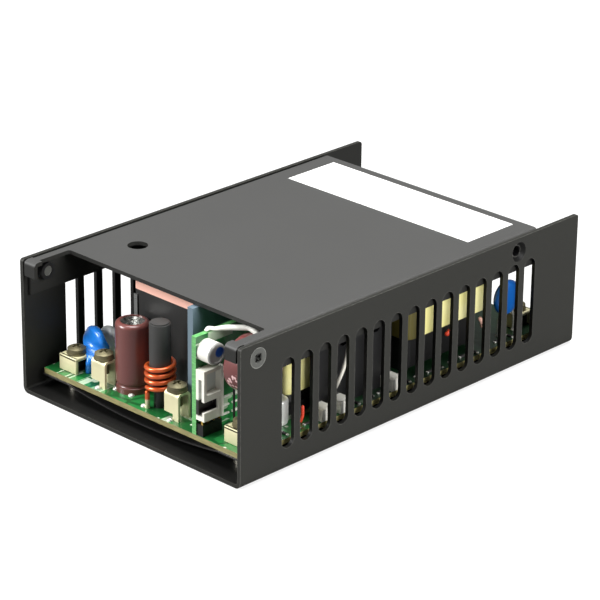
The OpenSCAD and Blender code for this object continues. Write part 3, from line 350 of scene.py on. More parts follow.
def board_finish(name, mask_color, pour_color, edge_color, top_axis="Z", painted_shade_from=None):
    """Circuit board: copper pours and gaps under solder mask, pads, white print, a paler cut edge, and painted
    shade towards the back.
    """
    finish = Finish(name, Coat_Weight=0.25, Coat_Roughness=0.12)
    tree = finish.tree
    place = object_place(tree)
    pours = put(tree, "ShaderNodeTexVoronoi", {"Vector": place, "Scale": 130.0, "Randomness": 0.8},
                distance="CHEBYCHEV", feature="F1")
    border = put(tree, "ShaderNodeTexVoronoi", {"Vector": place, "Scale": 130.0, "Randomness": 0.8},
                 feature="DISTANCE_TO_EDGE").outputs["Distance"]
    filled = remap(tree, put(tree, "ShaderNodeSeparateColor", {0: pours.outputs["Color"]}).outputs[0], 0.42,
                   0.46)
    copper = maths(tree, "MULTIPLY", filled, remap(tree, border, 0.05, 0.07))
    shade = blend(tree, copper, mask_color, pour_color)
    spots = put(tree, "ShaderNodeTexVoronoi", {"Vector": place, "Scale": 420.0, "Randomness": 1.0},
                feature="F1")
    chance = put(tree, "ShaderNodeSeparateColor", {0: spots.outputs["Color"]})
    spot = remap(tree, spots.outputs["Distance"], 0.24, 0.20)
    pad = maths(tree, "MULTIPLY", spot, remap(tree, chance.outputs[0], 0.80, 0.82))
    shade = blend(tree, pad, shade, rgb(222, 222, 206))
    ink_place = scaled_place(tree, (1.0, 0.45, 1.0))
    ink = put(tree, "ShaderNodeTexVoronoi", {"Vector": ink_place, "Scale": 260.0, "Randomness": 0.7},
              distance="CHEBYCHEV", feature="F1")
    ink_chance = put(tree, "ShaderNodeSeparateColor", {0: ink.outputs["Color"]}).outputs[1]
    line = maths(tree, "MULTIPLY", remap(tree, ink.outputs["Distance"], 0.38, 0.42),
                 remap(tree, ink.outputs["Distance"], 0.56, 0.52))
    printed = maths(tree, "MULTIPLY", line, remap(tree, ink_chance, 0.66, 0.68))
    shade = blend(tree, maths(tree, "MULTIPLY", printed, 0.6), shade, rgb(214, 226, 204))
    # Painted shade: the board darkens towards the back, between two places in Y.
    if painted_shade_from:
        shade = blend(tree, axis_mask(tree, "Y", *painted_shade_from), shade, rgb(14, 40, 20))
    flat = remap(tree, maths(tree, "ABSOLUTE", facing(tree, top_axis)), 0.5, 0.6)
    fibre_place = scaled_place(tree, (1.0, 1.0, 12.0))
    fibre = put(tree, "ShaderNodeTexNoise", {"Vector": fibre_place, "Scale": 500.0, "Detail": 3.0}).outputs[0]
    cut = blend(tree, remap(tree, fibre, 0.35, 0.65), edge_color,
                tuple(c * 0.6 for c in edge_color[:3]) + (1,))
    bump = put(tree, "ShaderNodeBump", {"Strength": 0.4, "Distance": 0.00004, "Height": copper}).outputs[0]
    rough = remap(tree, fibre, 0.3, 0.7, 0.30, 0.42)
    finish.feed(Base_Color=blend(tree, flat, cut, shade), Normal=bump, Roughness=rough)
    return finish.material


def sleeve_finish(name, color, prints=None):
    """Glossy, rippled shrunk sleeve; prints is (colour, axis, low, high) of a band of pale shapes."""
    finish = Finish(name, Coat_Weight=0.35, Coat_Roughness=0.12)
    tree = finish.tree
    grain = finish.group(GRAIN, Color=color, Grain_size=0.0009, Colour_change=0.10, Cloudiness=0.25,
                         Bump=0.12,
                         Roughness=0.34, Roughness_change=0.10)
    shade = grain["Color"]
    if prints:
        ink, axis, low, high = prints
        cells = put(tree, "ShaderNodeTexVoronoi",
                    {"Vector": object_place(tree), "Scale": 860.0, "Randomness": 0.6},
                    feature="F1")
        shape = remap(tree, cells.outputs["Distance"], 0.46, 0.40)
        chance = put(tree, "ShaderNodeSeparateColor", {0: cells.outputs["Color"]}).outputs[0]
        band = maths(tree, "MULTIPLY", axis_mask(tree, axis, low - 0.0002, low),
                     maths(tree, "SUBTRACT", 1.0, axis_mask(tree, axis, high, high + 0.0002)))
        mark = maths(tree, "MULTIPLY", maths(tree, "MULTIPLY", shape, remap(tree, chance, 0.28, 0.30)), band)
        shade = blend(tree, mark, shade, ink)
    return finish.done(shade, grain)


def tape_finish(name, olive_to=None):
    """Yellow polyester tape: overlapping turns and long soft wrinkles, darker olive from the front up to a place
    in Y.
    """
    finish = Finish(name, Coat_Weight=0.5, Coat_Roughness=0.15, Specular_IOR_Level=0.5)
    tree = finish.tree
    place = object_place(tree)
    wrinkle_place = scaled_place(tree, (1.0, 1.0, 0.25))
    wrinkle = put(tree, "ShaderNodeTexNoise",
                  {"Vector": wrinkle_place, "Scale": 420.0, "Detail": 3.0}).outputs[0]
    layer = put(tree, "ShaderNodeTexNoise", {"Vector": place, "Scale": 120.0, "Detail": 1.0}).outputs[0]
    shade = blend(tree, remap(tree, layer, 0.35, 0.65), rgb(240, 232, 152), rgb(250, 244, 180))
    # Darker olive towards the front, up to the given place in Y.
    if olive_to:
        shade = blend(tree, axis_mask(tree, "Y", olive_to, olive_to - 0.0006), shade, rgb(104, 96, 44))
    bump = put(tree, "ShaderNodeBump", {"Strength": 0.35, "Distance": 0.0002, "Height": wrinkle}).outputs[0]
    rough = remap(tree, wrinkle, 0.3, 0.7, 0.3, 0.45)
    finish.feed(Base_Color=shade, Roughness=rough, Normal=bump)
    return finish.material


def enamelled_copper():
    """Copper wire under clear orange enamel, tinned where it meets the board."""
    finish = Finish("enamelled_copper", Coat_Weight=0.8, Coat_Roughness=0.08, Metallic=0.55)
    grain = finish.group(GRAIN, Color=rgb(222, 96, 40), Grain_size=0.0005, Colour_change=0.12, Cloudiness=0.2,
                         Bump=0.06, Roughness=0.32, Roughness_change=0.10)
    bare = axis_mask(finish.tree, "Z", BOARD_TOP + 0.0030, BOARD_TOP + 0.0024)
    shade = blend(finish.tree, bare, grain["Color"], rgb(232, 222, 186))
    return finish.done(shade, grain)


def connector_finish():
    """White moulding with painted shade in its pockets: grey in the upper one and nearly black in the lower one.
    """
    finish = Finish("connector_white", Coat_Weight=0.2, Coat_Roughness=0.2)
    tree = finish.tree
    grain = finish.group(GRAIN, Color=rgb(238, 236, 224), Grain_size=0.0005, Colour_change=0.04,
                         Cloudiness=0.06,
                         Bump=0.08, Roughness=0.32, Roughness_change=0.08)
    low, high = corners(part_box("signal_connector"))
    floor = maths(tree, "MULTIPLY", axis_mask(tree, "X", low[0] + 0.0017, low[0] + 0.0015),
                  remap(tree, facing(tree, "X"), 0.5, 0.7))
    lower = axis_mask(tree, "Z", low[2] + 0.0062, low[2] + 0.0058)
    slot = maths(tree, "MULTIPLY", lower, axis_mask(tree, "X", high[0] - 0.0006, high[0] - 0.0010))
    slot = maths(tree, "MULTIPLY", slot, axis_mask(tree, "Z", low[2] + 0.0012, low[2] + 0.0016))
    # Painted shade: pale grey on the upper pocket's floor, nearly black in the lower slot.
    shade = blend(tree, floor, grain["Color"], rgb(214, 220, 216))
    shade = blend(tree, maths(tree, "MULTIPLY", slot, maths(tree, "MAXIMUM", floor, axis_mask(
        tree, "Y", high[1] - 0.0002, high[1] - 0.0006))), shade, rgb(34, 32, 32))
    return finish.done(shade, grain)


def end_capacitor_finish():
    """White can with a grey end face that carries one round blue spot."""
    finish = Finish("white_can", Coat_Weight=0.3, Coat_Roughness=0.2)
    tree = finish.tree
    grain = finish.group(GRAIN, Color=rgb(240, 238, 228), Grain_size=0.0005, Colour_change=0.04,
                         Cloudiness=0.06,
                         Bump=0.06, Roughness=0.34, Roughness_change=0.08)
    low, high = corners(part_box("small_capacitor"))
    end = axis_mask(tree, "X", high[0] - 0.0007, high[0] - 0.0006)
    spot = Vector((high[0], (low[1] + high[1]) / 2 + 0.0009, (low[2] + high[2]) / 2 + 0.0004))
    reach = put(tree, "ShaderNodeVectorMath", {0: object_place(tree), 1: spot},
                operation="DISTANCE").outputs["Value"]
    face = blend(tree, remap(tree, reach, 0.0017, 0.0013), rgb(150, 150, 146), rgb(30, 72, 150))
    return finish.done(blend(tree, end, grain["Color"], face), grain)


def screw_finish():
    """Dark steel screw whose rim is paled, partly as wear and partly as painted highlight, and whose recess and
    middle are darkened as painted shade.
    """
    finish = Finish("screw_steel", Metallic=0.6)
    tree = finish.tree
    grain = finish.group(GRAIN, Color=rgb(104, 105, 101), Grain_size=0.0003, Colour_change=0.20,
                         Cloudiness=0.2,
                         Bump=0.15, Roughness=0.40, Roughness_change=0.08)
    mask = finish.group(EDGE_WEAR_AND_HIGHLIGHT, Width=0.0003, Amount=1.0)["Mask"]
    low, high = corners(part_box("cover_screws"))
    folded = put(tree, "ShaderNodeVectorMath", {0: object_place(tree)}, operation="ABSOLUTE").outputs[0]
    middle = np.abs([high[0], (low[1] + high[1]) / 2, (low[2] + high[2]) / 2])
    reach = put(tree, "ShaderNodeVectorMath", {0: folded, 1: Vector(middle)},
                operation="DISTANCE").outputs["Value"]
    # Rim paled: partly wear, partly painted highlight.
    shade = blend(tree, mask, grain["Color"], rgb(176, 176, 170))
    # Painted shade: the recess and middle of the head go nearly black.
    shade = blend(tree, remap(tree, reach, 0.0016, 0.0008), shade, rgb(14, 14, 13))
    return finish.done(shade, grain)


def clear_glass():
    """Clear fuse tube."""
    finish = Finish("fuse_glass", Transmission_Weight=0.9, Roughness=0.05, IOR=1.47)
    place = object_place(finish.tree)
    haze = put(finish.tree, "ShaderNodeTexNoise", {"Vector": place, "Scale": 300.0}).outputs[0]
    shade = blend(finish.tree, haze, rgb(225, 235, 230), rgb(240, 244, 240))
    finish.feed(Base_Color=shade)
    return finish.material


# Painted shade inside the chassis: on inward faces, and deeper on the cut edges and the floor.
PAINTED_INNER_SHADE = rgb(30, 30, 28)
PAINTED_DEEP_SHADE = rgb(16, 16, 15)
INNER_WALL = 0.0429
# Painted shade in the seam where the cover meets the walls.
SEAM_SHADE = (0.0423, 0.0427, rgb(16, 16, 16))
SHEET = coat("sheet_coat", rgb(42, 42, 39), rgb(112, 111, 106), wall=INNER_WALL, Specular_IOR_Level=0.22)
# folded: painted shade on the cover's upright faces.
COVER = coat("cover_coat", rgb(66, 66, 65), rgb(90, 90, 88), folded=rgb(34, 34, 32), seam=SEAM_SHADE,
             Specular_IOR_Level=0.3)
FILM = film_finish()
ZINC = plated("zinc_plate", rgb(196, 192, 178), rough=0.30)
TIN = plated("tin_plate", rgb(220, 214, 174), rough=0.42, streak=0.05, metallic=0.25)
POST = plated("tinned_block", rgb(220, 214, 172), rough=0.48, streak=0.05, metallic=0.2)
BRASS = plated("aged_screw", rgb(116, 110, 84), rough=0.5, streak=0.3, metallic=0.7)
PALE_CAN = plated("pale_can", rgb(224, 224, 220), rough=0.36, metallic=0.35)
CAN = plated("drawn_can", rgb(190, 190, 186), rough=0.28)
STEEL = plated("spring_steel", rgb(150, 152, 150), rough=0.32)
GOLD = plated("gilt", rgb(226, 186, 96), rough=0.25)
SOLDER = plated("solder", rgb(206, 206, 198), rough=0.30, metallic=0.45)
BLACK_METAL = grained("black_anodised", rgb(16, 16, 17), size=0.0003, change=0.15, bump=0.15, rough=0.42)
SCREW = screw_finish()
HEATSINK = grained("blue_grey_aluminium", rgb(112, 130, 142), size=0.0003, change=0.08, cloud=0.15, bump=0.12,
                   rough=0.42, Metallic=0.35)
BOARD = board_finish("green_board", rgb(16, 84, 36), rgb(34, 120, 58), rgb(156, 148, 98),
                     painted_shade_from=(FRONT + 0.018, FRONT + 0.060))
DAUGHTER = board_finish("daughter_green", rgb(22, 96, 44), rgb(40, 128, 62), rgb(112, 190, 112), top_axis="X")
LABEL = grained("label_white", rgb(236, 236, 234), size=0.0005, change=0.02, cloud=0.02, bump=0.05,
                rough=0.45)
SLEEVE = sleeve_finish("maroon_sleeve", rgb(104, 58, 54))
PRINTED_SLEEVE = sleeve_finish("printed_sleeve", rgb(104, 52, 50),
                               (rgb(226, 188, 186), "Z", BOARD_TOP + 0.0150, BOARD_TOP + 0.0215))
DARK_SLEEVE = sleeve_finish("dark_sleeve", rgb(38, 38, 44))
DARK_FERRITE = grained("dark_ferrite", rgb(22, 22, 21), size=0.00035, change=0.25, cloud=0.25, bump=0.25,
                       rough=0.55)
FERRITE = grained("ferrite", rgb(52, 52, 51), size=0.00035, change=0.22, cloud=0.2, bump=0.25, rough=0.55)
COPPER = enamelled_copper()
# A darker copy of the blue epoxy: painted shade for the rear disc.
SHADED_BLUE = grained("shaded_blue_epoxy", rgb(14, 84, 160), size=0.0012, change=0.10, cloud=0.2, bump=0.10,
                    rough=0.30,
                    Coat_Weight=0.4, Coat_Roughness=0.15)
BLUE = grained("blue_epoxy", rgb(30, 128, 226), size=0.0012, change=0.10, cloud=0.2, bump=0.10, rough=0.30,
               Coat_Weight=0.4, Coat_Roughness=0.15)
GREY_EPOXY = grained("grey_epoxy", rgb(246, 250, 247), size=0.0012, change=0.08, cloud=0.1, bump=0.10,
                     rough=0.35,
                     Coat_Weight=0.3, Coat_Roughness=0.2)
MOULDING = grained("black_moulding", rgb(14, 14, 14), size=0.0003, change=0.2, cloud=0.2, bump=0.2,
                   rough=0.45)
TAPE = tape_finish("yellow_tape")
OLIVE_FRONT_TAPE = tape_finish("olive_front_tape", FRONT + 0.0802)
PAD = grained("pink_pad", rgb(240, 186, 168), size=0.0006, change=0.10, cloud=0.10, bump=0.3, rough=0.75)
WHITE = grained("white_moulding", rgb(232, 230, 220), size=0.0005, change=0.04, cloud=0.06, bump=0.08,
                rough=0.32,
                Coat_Weight=0.2, Coat_Roughness=0.2)
SEALANT = grained("white_sealant", rgb(236, 236, 228), size=0.0009, change=0.05, cloud=0.08, bump=0.3,
                  rough=0.45)
PALE_WIRE = grained("pale_insulation", rgb(212, 208, 196), size=0.0006, change=0.05, cloud=0.1, bump=0.08,
                    rough=0.38)
YELLOW_BOX = grained("yellow_box", rgb(216, 186, 60), size=0.0004, change=0.06, cloud=0.1, bump=0.15,
                     rough=0.4)
GLASS = clear_glass()
CONNECTOR = connector_finish()
WHITE_CAN = end_capacitor_finish()
RED = grained("red_sleeving", rgb(206, 62, 36), size=0.0006, change=0.08, cloud=0.12, bump=0.08, rough=0.4)
PINK = grained("pink_sleeving", rgb(226, 178, 160), size=0.0006, change=0.08, cloud=0.12, bump=0.08,
               rough=0.45)
CHIP = grained("chip_body", rgb(34, 33, 33), size=0.0003, change=0.2, cloud=0.1, bump=0.2, rough=0.5)

FINISHES = {
    SHEET: ["chassis"],
    COVER: ["top_cover"],
    FILM: ["insulator_film"],
    ZINC: ["base_nuts", "standoffs", "rectifier_screws"],
    BRASS: ["board_screws", "terminal_screws"],
    TIN: ["output_terminal_left", "output_terminal_right", "input_terminal_left", "input_terminal_right"],
    POST: ["corner_posts"],
    CAN: ["output_capacitor", "lying_capacitor", "silver_capacitor", "bulk_capacitor"],
    STEEL: ["transformer_clips", "fuse_clips"],
    GOLD: ["signal_pins"],
    BLACK_METAL: ["side_heatsink", "cover_nuts"],
    SCREW: ["cover_screws"],
    HEATSINK: ["output_heatsink", "bridge_heatsink"],
    BOARD: ["main_board"],
    DAUGHTER: ["daughter_board"],
    LABEL: ["label"],
    SLEEVE: ["output_capacitor_sleeve"],
    PRINTED_SLEEVE: ["lying_capacitor_sleeve"],
    DARK_SLEEVE: ["bulk_capacitor_sleeve"],
    DARK_FERRITE: ["transformer_core"],
    FERRITE: ["rod_choke_core", "standby_transformer_core", "pfc_choke_core",
              "line_filter_core"],
    COPPER: ["rod_choke_winding", "line_filter_windings"],
    BLUE: ["blue_disc_capacitor", "rear_disc_capacitor"],
    GREY_EPOXY: ["grey_disc_capacitor"],
    MOULDING: ["rod_choke_foot", "transformer_bobbin", "rectifiers", "pin_header", "standby_transformer_foot",
               "side_transistors", "pfc_choke_bobbin", "bridge_rectifier"],
    TAPE: ["transformer_tape", "standby_transformer_tape", "pfc_choke_tape"],
    PAD: ["thermal_pad"],
    WHITE: ["optocouplers"],
    CONNECTOR: ["signal_connector"],
    WHITE_CAN: ["small_capacitor"],
    SEALANT: ["adhesive_bead"],
    PALE_WIRE: ["jumper_wire"],
    YELLOW_BOX: ["film_capacitor"],
    GLASS: ["fuse"],
}


def dress(finishes):
    """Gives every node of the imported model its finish."""
    for material, names in finishes.items():
        for name in names:
            slots = nodes[name].material_slots
            for slot in slots:
                slot.material = material
            if not slots:
                nodes[name].data.materials.append(material)


dress(FINISHES)

# --- Meshes from formulas -------------------------------------------------------------------------------


def add_piece(name, shapes, material, stands_for=(), sharp=35.0):
    """One piece from closed shapes, each (vertices, faces): normals turned outward, edges kept sharp."""
    vertices, faces, start = [], [], 0
    for points, corners in shapes:
        vertices.append(points)
        faces += [[start + c for c in face] for face in corners]
        start += len(points)
    mesh = bpy.data.meshes.new(name)
    mesh.from_pydata(np.concatenate(vertices).tolist(), [], faces)
    work = bmesh.new()
    work.from_mesh(mesh)
    bmesh.ops.recalc_face_normals(work, faces=work.faces)
    work.to_mesh(mesh)
    work.free()
    mesh.polygons.foreach_set("use_smooth", np.ones(len(mesh.polygons), dtype=bool))
    mesh.set_sharp_from_angle(angle=math.radians(sharp))
    mesh.materials.append(material)
    piece = bpy.data.objects.new(name, mesh)
    bpy.context.scene.collection.objects.link(piece)
    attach(piece, "root")
    if stands_for:
        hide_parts(*stands_for)
    return piece


def closed_rings(rings):
    """Closed surface from rings (rows, columns, 3): quads between neighbours and a fan at each end."""
    rows, columns, _ = rings.shape
    i, j = np.arange(rows - 1)[:, None], np.arange(columns)[None, :]
    k = (j + 1) % columns
    quads = np.stack([i * columns + j, i * columns + k, (i + 1) * columns + k, (i + 1) * columns + j],
                     axis=-1)
    j, k = j[0], k[0]
    first = np.stack([k, j, np.full(columns, rows * columns)], axis=1)
    last = np.stack([j, k, np.full(columns, columns + 1)], axis=1) + (rows - 1) * columns
    points = np.concatenate([rings.reshape(-1, 3), rings[[0, -1]].mean(axis=1)])
    return points, quads.reshape(-1, 4).tolist() + first.tolist() + last.tolist()


def turned(profile, columns=48):
    """Surface of revolution about Z: p(s, t) = (r(s) cos t, r(s) sin t, h(s)); profile holds (r, h) in mm."""
    t = np.linspace(0, 2 * np.pi, columns, endpoint=False)
    r, h = np.array(profile, dtype=float).T[:, :, None]
    return np.stack([r * np.cos(t), r * np.sin(t), h + 0 * t], axis=-1)


def smooth_path(points, per_span=8):
    """Catmull-Rom curve through the points: p(t) of each span from its four neighbours."""
    p = np.array(points, dtype=float)
    p = np.concatenate([2 * p[:1] - p[1:2], p, 2 * p[-1:] - p[-2:-1]])
    t = np.linspace(0, 1, per_span, endpoint=False)[None, :, None]
    a, b, c, d = (p[n:len(p) - 3 + n, None, :] for n in range(4))
    spans = 0.5 * (2 * b + (c - a) * t + (2 * a - 5 * b + 4 * c - d) * t**2 + (3 * b - a - 3 * c + d) * t**3)
    return np.concatenate([spans.reshape(-1, p.shape[1]), p[-2:-1]])


def swept(path, radius, side, columns=14):
    """Tube c(s) + r(s)(n cos t + b sin t), n square to the path and to side; its ends are rounded in."""
    path = np.array(path, dtype=float)
    radius = np.broadcast_to(np.array(radius, dtype=float), (len(path),)).copy()
    along = np.gradient(path, axis=0)
    along /= np.linalg.norm(along, axis=1, keepdims=True)
    across = np.cross(along, side)
    across /= np.linalg.norm(across, axis=1, keepdims=True)
    other = np.cross(along, across)
    bow = np.linspace(0, np.pi / 2, 5)[:-1]
    ends = [(0, -1.0, bow), (-1, 1.0, bow[::-1])]
    caps = [(np.repeat(path[n:n + 1 or None], 4,
                       axis=0) + turn * radius[n] * np.cos(angle)[:, None] * along[n],
             radius[n] * (np.sin(angle) + 0.02), np.repeat(across[n:n + 1 or None], 4, axis=0),
             np.repeat(other[n:n + 1 or None], 4, axis=0)) for n, turn, angle in ends]
    middle = (path, radius, across, other)
    c, r, n, b = (np.concatenate([caps[0][m], middle[m], caps[1][m]])[:, None] for m in range(4))
    t = np.linspace(0, 2 * np.pi, columns, endpoint=False)[None, :, None]
    return closed_rings(c + r[..., None] * (n * np.cos(t) + b * np.sin(t)))


def block(low, high, corner=0.5, rim=0.3):
    """Rounded block in mm: rounded rectangles drawn in by rim(1 - cos v) over a height rim(1 - sin v)."""
    low, high = np.array(low, dtype=float), np.array(high, dtype=float)
    v = np.linspace(np.pi / 2, 0, 4)
    drawn_in, rise = rim * (1 - np.cos(v)), rim * (1 - np.sin(v))
    inset = np.concatenate([drawn_in, drawn_in[::-1]])
    height = np.concatenate([low[2] + rise, high[2] - rise[::-1]])
    t = (np.arange(4)[:, None] * np.pi / 2 + np.linspace(0, np.pi / 2, 5)[None, :]).ravel()
    sign = np.repeat(np.array([[1, 1], [-1, 1], [-1, -1], [1, -1]]), 5, axis=0)
    middle, half = (low + high) / 2, (high - low) / 2
    around = np.stack([np.cos(t), np.sin(t)], axis=1)
    ring = middle[:2] + sign * (half[:2] - corner) + corner * around
    rings = ring[None] - inset[:, None, None] * around[None]
    rings = np.concatenate([rings, np.broadcast_to(height[:, None, None], rings.shape[:2] + (1,))], axis=-1)
    return closed_rings(rings)


def placed(shape, x=0.0, y=0.0, z=0.0):
    """The shape, drawn in millimetres, carried to a place over the board."""
    points, faces = shape
    return at_points(points + (x, y, z)), faces


def at_points(points):
    """Places in metres from x from the middle, y from the front edge and z above the board, in mm."""
    return points * MM + (0.0, FRONT, BOARD_TOP)


def around_x(shape):
    """The shape turned so that its Z axis lies along X."""
    points, faces = shape
    return points[:, [2, 1, 0]] * (1, 1, -1), faces


# --- Added pieces ---------------------------------------------------------------------------------------

# Sizes and places in millimetres: x from the middle, y from the front edge, z above the board
POST_WIDTH, POST_HEIGHT, PLATE = 7.2, 4.8, 1.0
POST_PLACES = [(x, y) for x in (-33.65, 33.65) for y in (11.3, 125.7)]
ROD = (1.5, 11.0)
LEAD = 0.35
REAR_DISC_MIDDLE, REAR_DISC_RADIUS, REAR_DISC_THICK = (36.0, 118.2, 11.5), 5.4, 3.6
LYING_END, LYING_RADIUS, LYING_LENGTH = (30.2, 14.9, 21.9), 8.1, 8.1
JUMPER_X, JUMPER_RADIUS = 36.0, 0.55
SMALL_CAN_PLACE, SMALL_CAN_RADIUS, ROLL = (31.6, 26.6), 3.2, 0.8


def add_posts():
    """Corner clips: a strip bent down at the front and back, with a black nut block held under its top.

    Each clip is three rounded blocks, the two legs and the top plate, and its nut is a fourth between them,
    filling the clip with black as painted shade.
    """
    half = POST_WIDTH / 2
    strips, nut_shade_blocks = [], []
    for x, y in POST_PLACES:
        strips += [placed(block((-half, -half, 0), (half, -half + PLATE, POST_HEIGHT), 0.3, 0.25), x, y),
                   placed(block((-half, half - PLATE, 0), (half, half, POST_HEIGHT), 0.3, 0.25), x, y),
                   placed(block((-half, -half, POST_HEIGHT - PLATE), (half, half, POST_HEIGHT), 0.3, 0.3), x,
                          y)]
        nut_shade_blocks.append(placed(block((-half + 1.2, -half + PLATE, 0.1),
                                 (half - 1.2, half - PLATE, POST_HEIGHT - PLATE),
                                 0.4, 0.2), x, y))
    add_piece("corner_clips", strips, POST, ["corner_posts"])
    # The nut blocks fill the clips in black: partly the nut, partly painted shade inside the clip.
    add_piece("corner_clip_nut_shade", nut_shade_blocks, BLACK_METAL)


def add_winding():
    """Turns of enamelled wire round the rod, from a lead at the front to one behind.

    The coil is a helix about the rod: x = reach cos a, y = reach sin a, z = low + turns pitch s, where the
    angle a grows evenly with s from its start. Smooth curves lead from its ends down to the board.
    """
    r, low, turns, pitch, reach = 0.7, 6.3, 3.6, 1.95, 3.85
    start = math.radians(246)
    s = np.linspace(0, 1, 150)
    angle = start + 2 * np.pi * turns * s
    coil = np.stack([ROD[0] + reach * np.cos(angle), ROD[1] + reach * np.sin(angle), low + turns * pitch * s],
                    axis=1)
    finish = start + 2 * np.pi * turns
    out = reach + 1.6

    def spoke(distance, turn, z):
        return [ROD[0] + distance * math.cos(finish + turn), ROD[1] + distance * math.sin(finish + turn), z]
    lead_in = smooth_path([[coil[0, 0], coil[0, 1], z] for z in (0.0, 3.0, 5.1)], 5)[:-1]
    top = low + turns * pitch
    lead_out = smooth_path([spoke(out - 0.5, 0.25, top - 0.2), spoke(out, 0.49, top - 1.3),
                            spoke(out, 0.56, top - 3.4), spoke(out, 0.56, top / 2), spoke(out, 0.56, 0.0)], 6)
    shapes = [swept(at_points(coil), r * MM, (0, 0, 1), 16)]
    shapes += [swept(at_points(part), r * MM, (0.3, 1, 0), 16) for part in (lead_in, lead_out)]
    bend = smooth_path([coil[-2], coil[-1], lead_out[0], lead_out[3]], 5)
    shapes.append(swept(at_points(bend), r * MM, (0, 0, 1), 16))
    add_piece("choke_turns", shapes, COPPER, ["rod_choke_winding"], sharp=60)


def add_blue_drop():
    """Coated disc whose coating runs down to the board beside the corner clip.

    Its rings are flattened ellipses (wide cos t, thick sin t to the power 0.8), each turned about Z and
    centred on a middle line that leans from the foot to the disc. All of them are read off one smooth curve
    in height.
    """
    # height, middle x and y, half width, half thickness, turn in degrees
    table = np.array([[0.1, -29.0, 11.6, 1.0, 0.8, 85], [1.6, -28.9, 12.2, 1.6, 0.9, 85],
                      [3.0, -28.8, 13.0, 2.3, 1.0, 80], [4.6, -29.0, 14.6, 3.0, 1.2, 70],
                      [6.0, -30.6, 16.2, 3.8, 1.6, 30], [7.8, -31.9, 17.0, 5.0, 1.8, -5],
                      [9.6, -32.1, 17.2, 4.5, 1.6, -15], [10.9, -32.1, 17.2, 2.9, 1.3, -15],
                      [11.5, -32.1, 17.2, 0.6, 0.4, -15]])
    z, x, y, wide, thick, turn = smooth_path(table, 6).T[:, :, None]
    t = np.linspace(0, 2 * np.pi, 32, endpoint=False)
    u, v = wide * np.cos(t), thick * np.sign(np.sin(t)) * np.abs(np.sin(t)) ** 0.8
    turn = np.radians(turn)
    rings = np.stack([x + u * np.cos(turn) - v * np.sin(turn), y + u * np.sin(turn) + v * np.cos(turn),
                      z + 0 * t], axis=-1)
    add_piece("blue_drop", [closed_rings(at_points(rings))], BLUE, ["blue_disc_capacitor"], sharp=70)


def disc_shape(radius, thick):
    """Coated disc lying flat: r(v) and h(v) of a superellipse of power 3, about Z."""
    v = np.linspace(-np.pi / 2 + 0.03, np.pi / 2 - 0.03, 21)
    r = radius * np.abs(np.cos(v)) ** (2 / 3)
    h = thick / 2 * np.sign(np.sin(v)) * np.abs(np.sin(v)) ** 0.9
    return closed_rings(turned(np.stack([r, h], axis=1), 48))


def add_rear_disc():
    """Blue disc at the input end, standing along the wall on two coated leads."""
    x, y, z = REAR_DISC_MIDDLE
    disc = around_x(disc_shape(REAR_DISC_RADIUS, REAR_DISC_THICK))
    # Drawn in the darker blue epoxy: painted shade.
    add_piece("rear_blue_disc", [placed(disc, x, y, z)], SHADED_BLUE, ["rear_disc_capacitor"], sharp=70)
    leads = [swept(at_points(smooth_path([[x, y + side * 3.4, 0.0], [x, y + side * 3.4, 4.0],
                                          [x, y + side * 2.2,
                                           8.6]], 6)), LEAD * MM, (1, 0, 0)) for side in (-1, 1)]
    add_piece("rear_disc_leads", leads, SOLDER)


def add_lying_capacitor():
    """Sleeved can lying on its side on two leads, with a rolled shoulder and a dark plug in its end.

    The sleeve is a profile turned about its axis, with a quarter circle at the shoulder, and then laid
    along X.
    """
    (x, y, z), r = LYING_END, LYING_RADIUS
    v = np.linspace(0, np.pi / 2, 6)
    shoulder = np.stack([r - 0.9 + 0.9 * np.sin(v), 0.9 - 0.9 * np.cos(v)], axis=1)
    body = np.concatenate([[[r - 1.6, 0.25], [r - 1.1, 0.05]], shoulder,
                           [[r, LYING_LENGTH - 0.8], [r - 0.3, LYING_LENGTH - 0.3], [r - 1.2, LYING_LENGTH]]])
    sleeve = closed_rings(turned(body, 64))
    points, faces = sleeve
    sleeve = (points[:, [2, 0, 1]], faces)
    add_piece("lying_sleeve", [placed(sleeve, x, y, z)], PRINTED_SLEEVE, ["lying_capacitor_sleeve"])
    leads = [swept(at_points(smooth_path([[x - 1.0, y + side * 2.5, 0.0], [x - 1.0, y + side * 2.5, z - 6.0],
                                          [x - 0.9, y + side * 2.5,
                                           z - 1.2], [x - 0.3, y + side * 2.5, z - 0.2],
                                          [x + 0.5, y + side * 2.5, z]], 6)), LEAD * MM, (0, 1, 0), 10)
             for side in (-1, 1)]
    plug, faces = closed_rings(turned([[r - 1.5, 0.1], [r - 1.5, 1.0]], 64))
    # The leads are drawn in black moulding: painted shade on tinned leads.
    add_piece("lying_leads", leads, MOULDING, ["lying_capacitor"])
    add_piece("lying_plug", [placed((plug[:, [2, 0, 1]], faces), x, y, z)], MOULDING)


def add_bead():
    """Run of sealant from the daughter board's top edge to the lying capacitor.

    It is swept along a smooth curve with a radius of 0.45 + 0.42 s to the power 0.7, plus a small ripple
    and one swelling, a bell curve near s = 0.62, so it is thin at first and thick at its end.
    """
    route = smooth_path([[21.2, 9.6, 29.6], [21.4, 10.6, 29.9], [23.1, 11.4, 30.1], [24.8, 13.4, 30.3],
                         [28.2, 15.6, 30.7], [30.6, 16.8, 30.9], [32.6, 17.0, 30.5], [33.9, 16.9, 29.9]], 8)
    s = np.linspace(0, 1, len(route))
    radius = 0.45 + 0.42 * s ** 0.7 + 0.08 * np.sin(17 * s) + 0.12 * np.exp(-((s - 0.62) / 0.08) ** 2)
    add_piece("sealant_run", [swept(at_points(route), radius * MM, (0, 0, 1), 16)], SEALANT,
              ["adhesive_bead"],
              sharp=70)


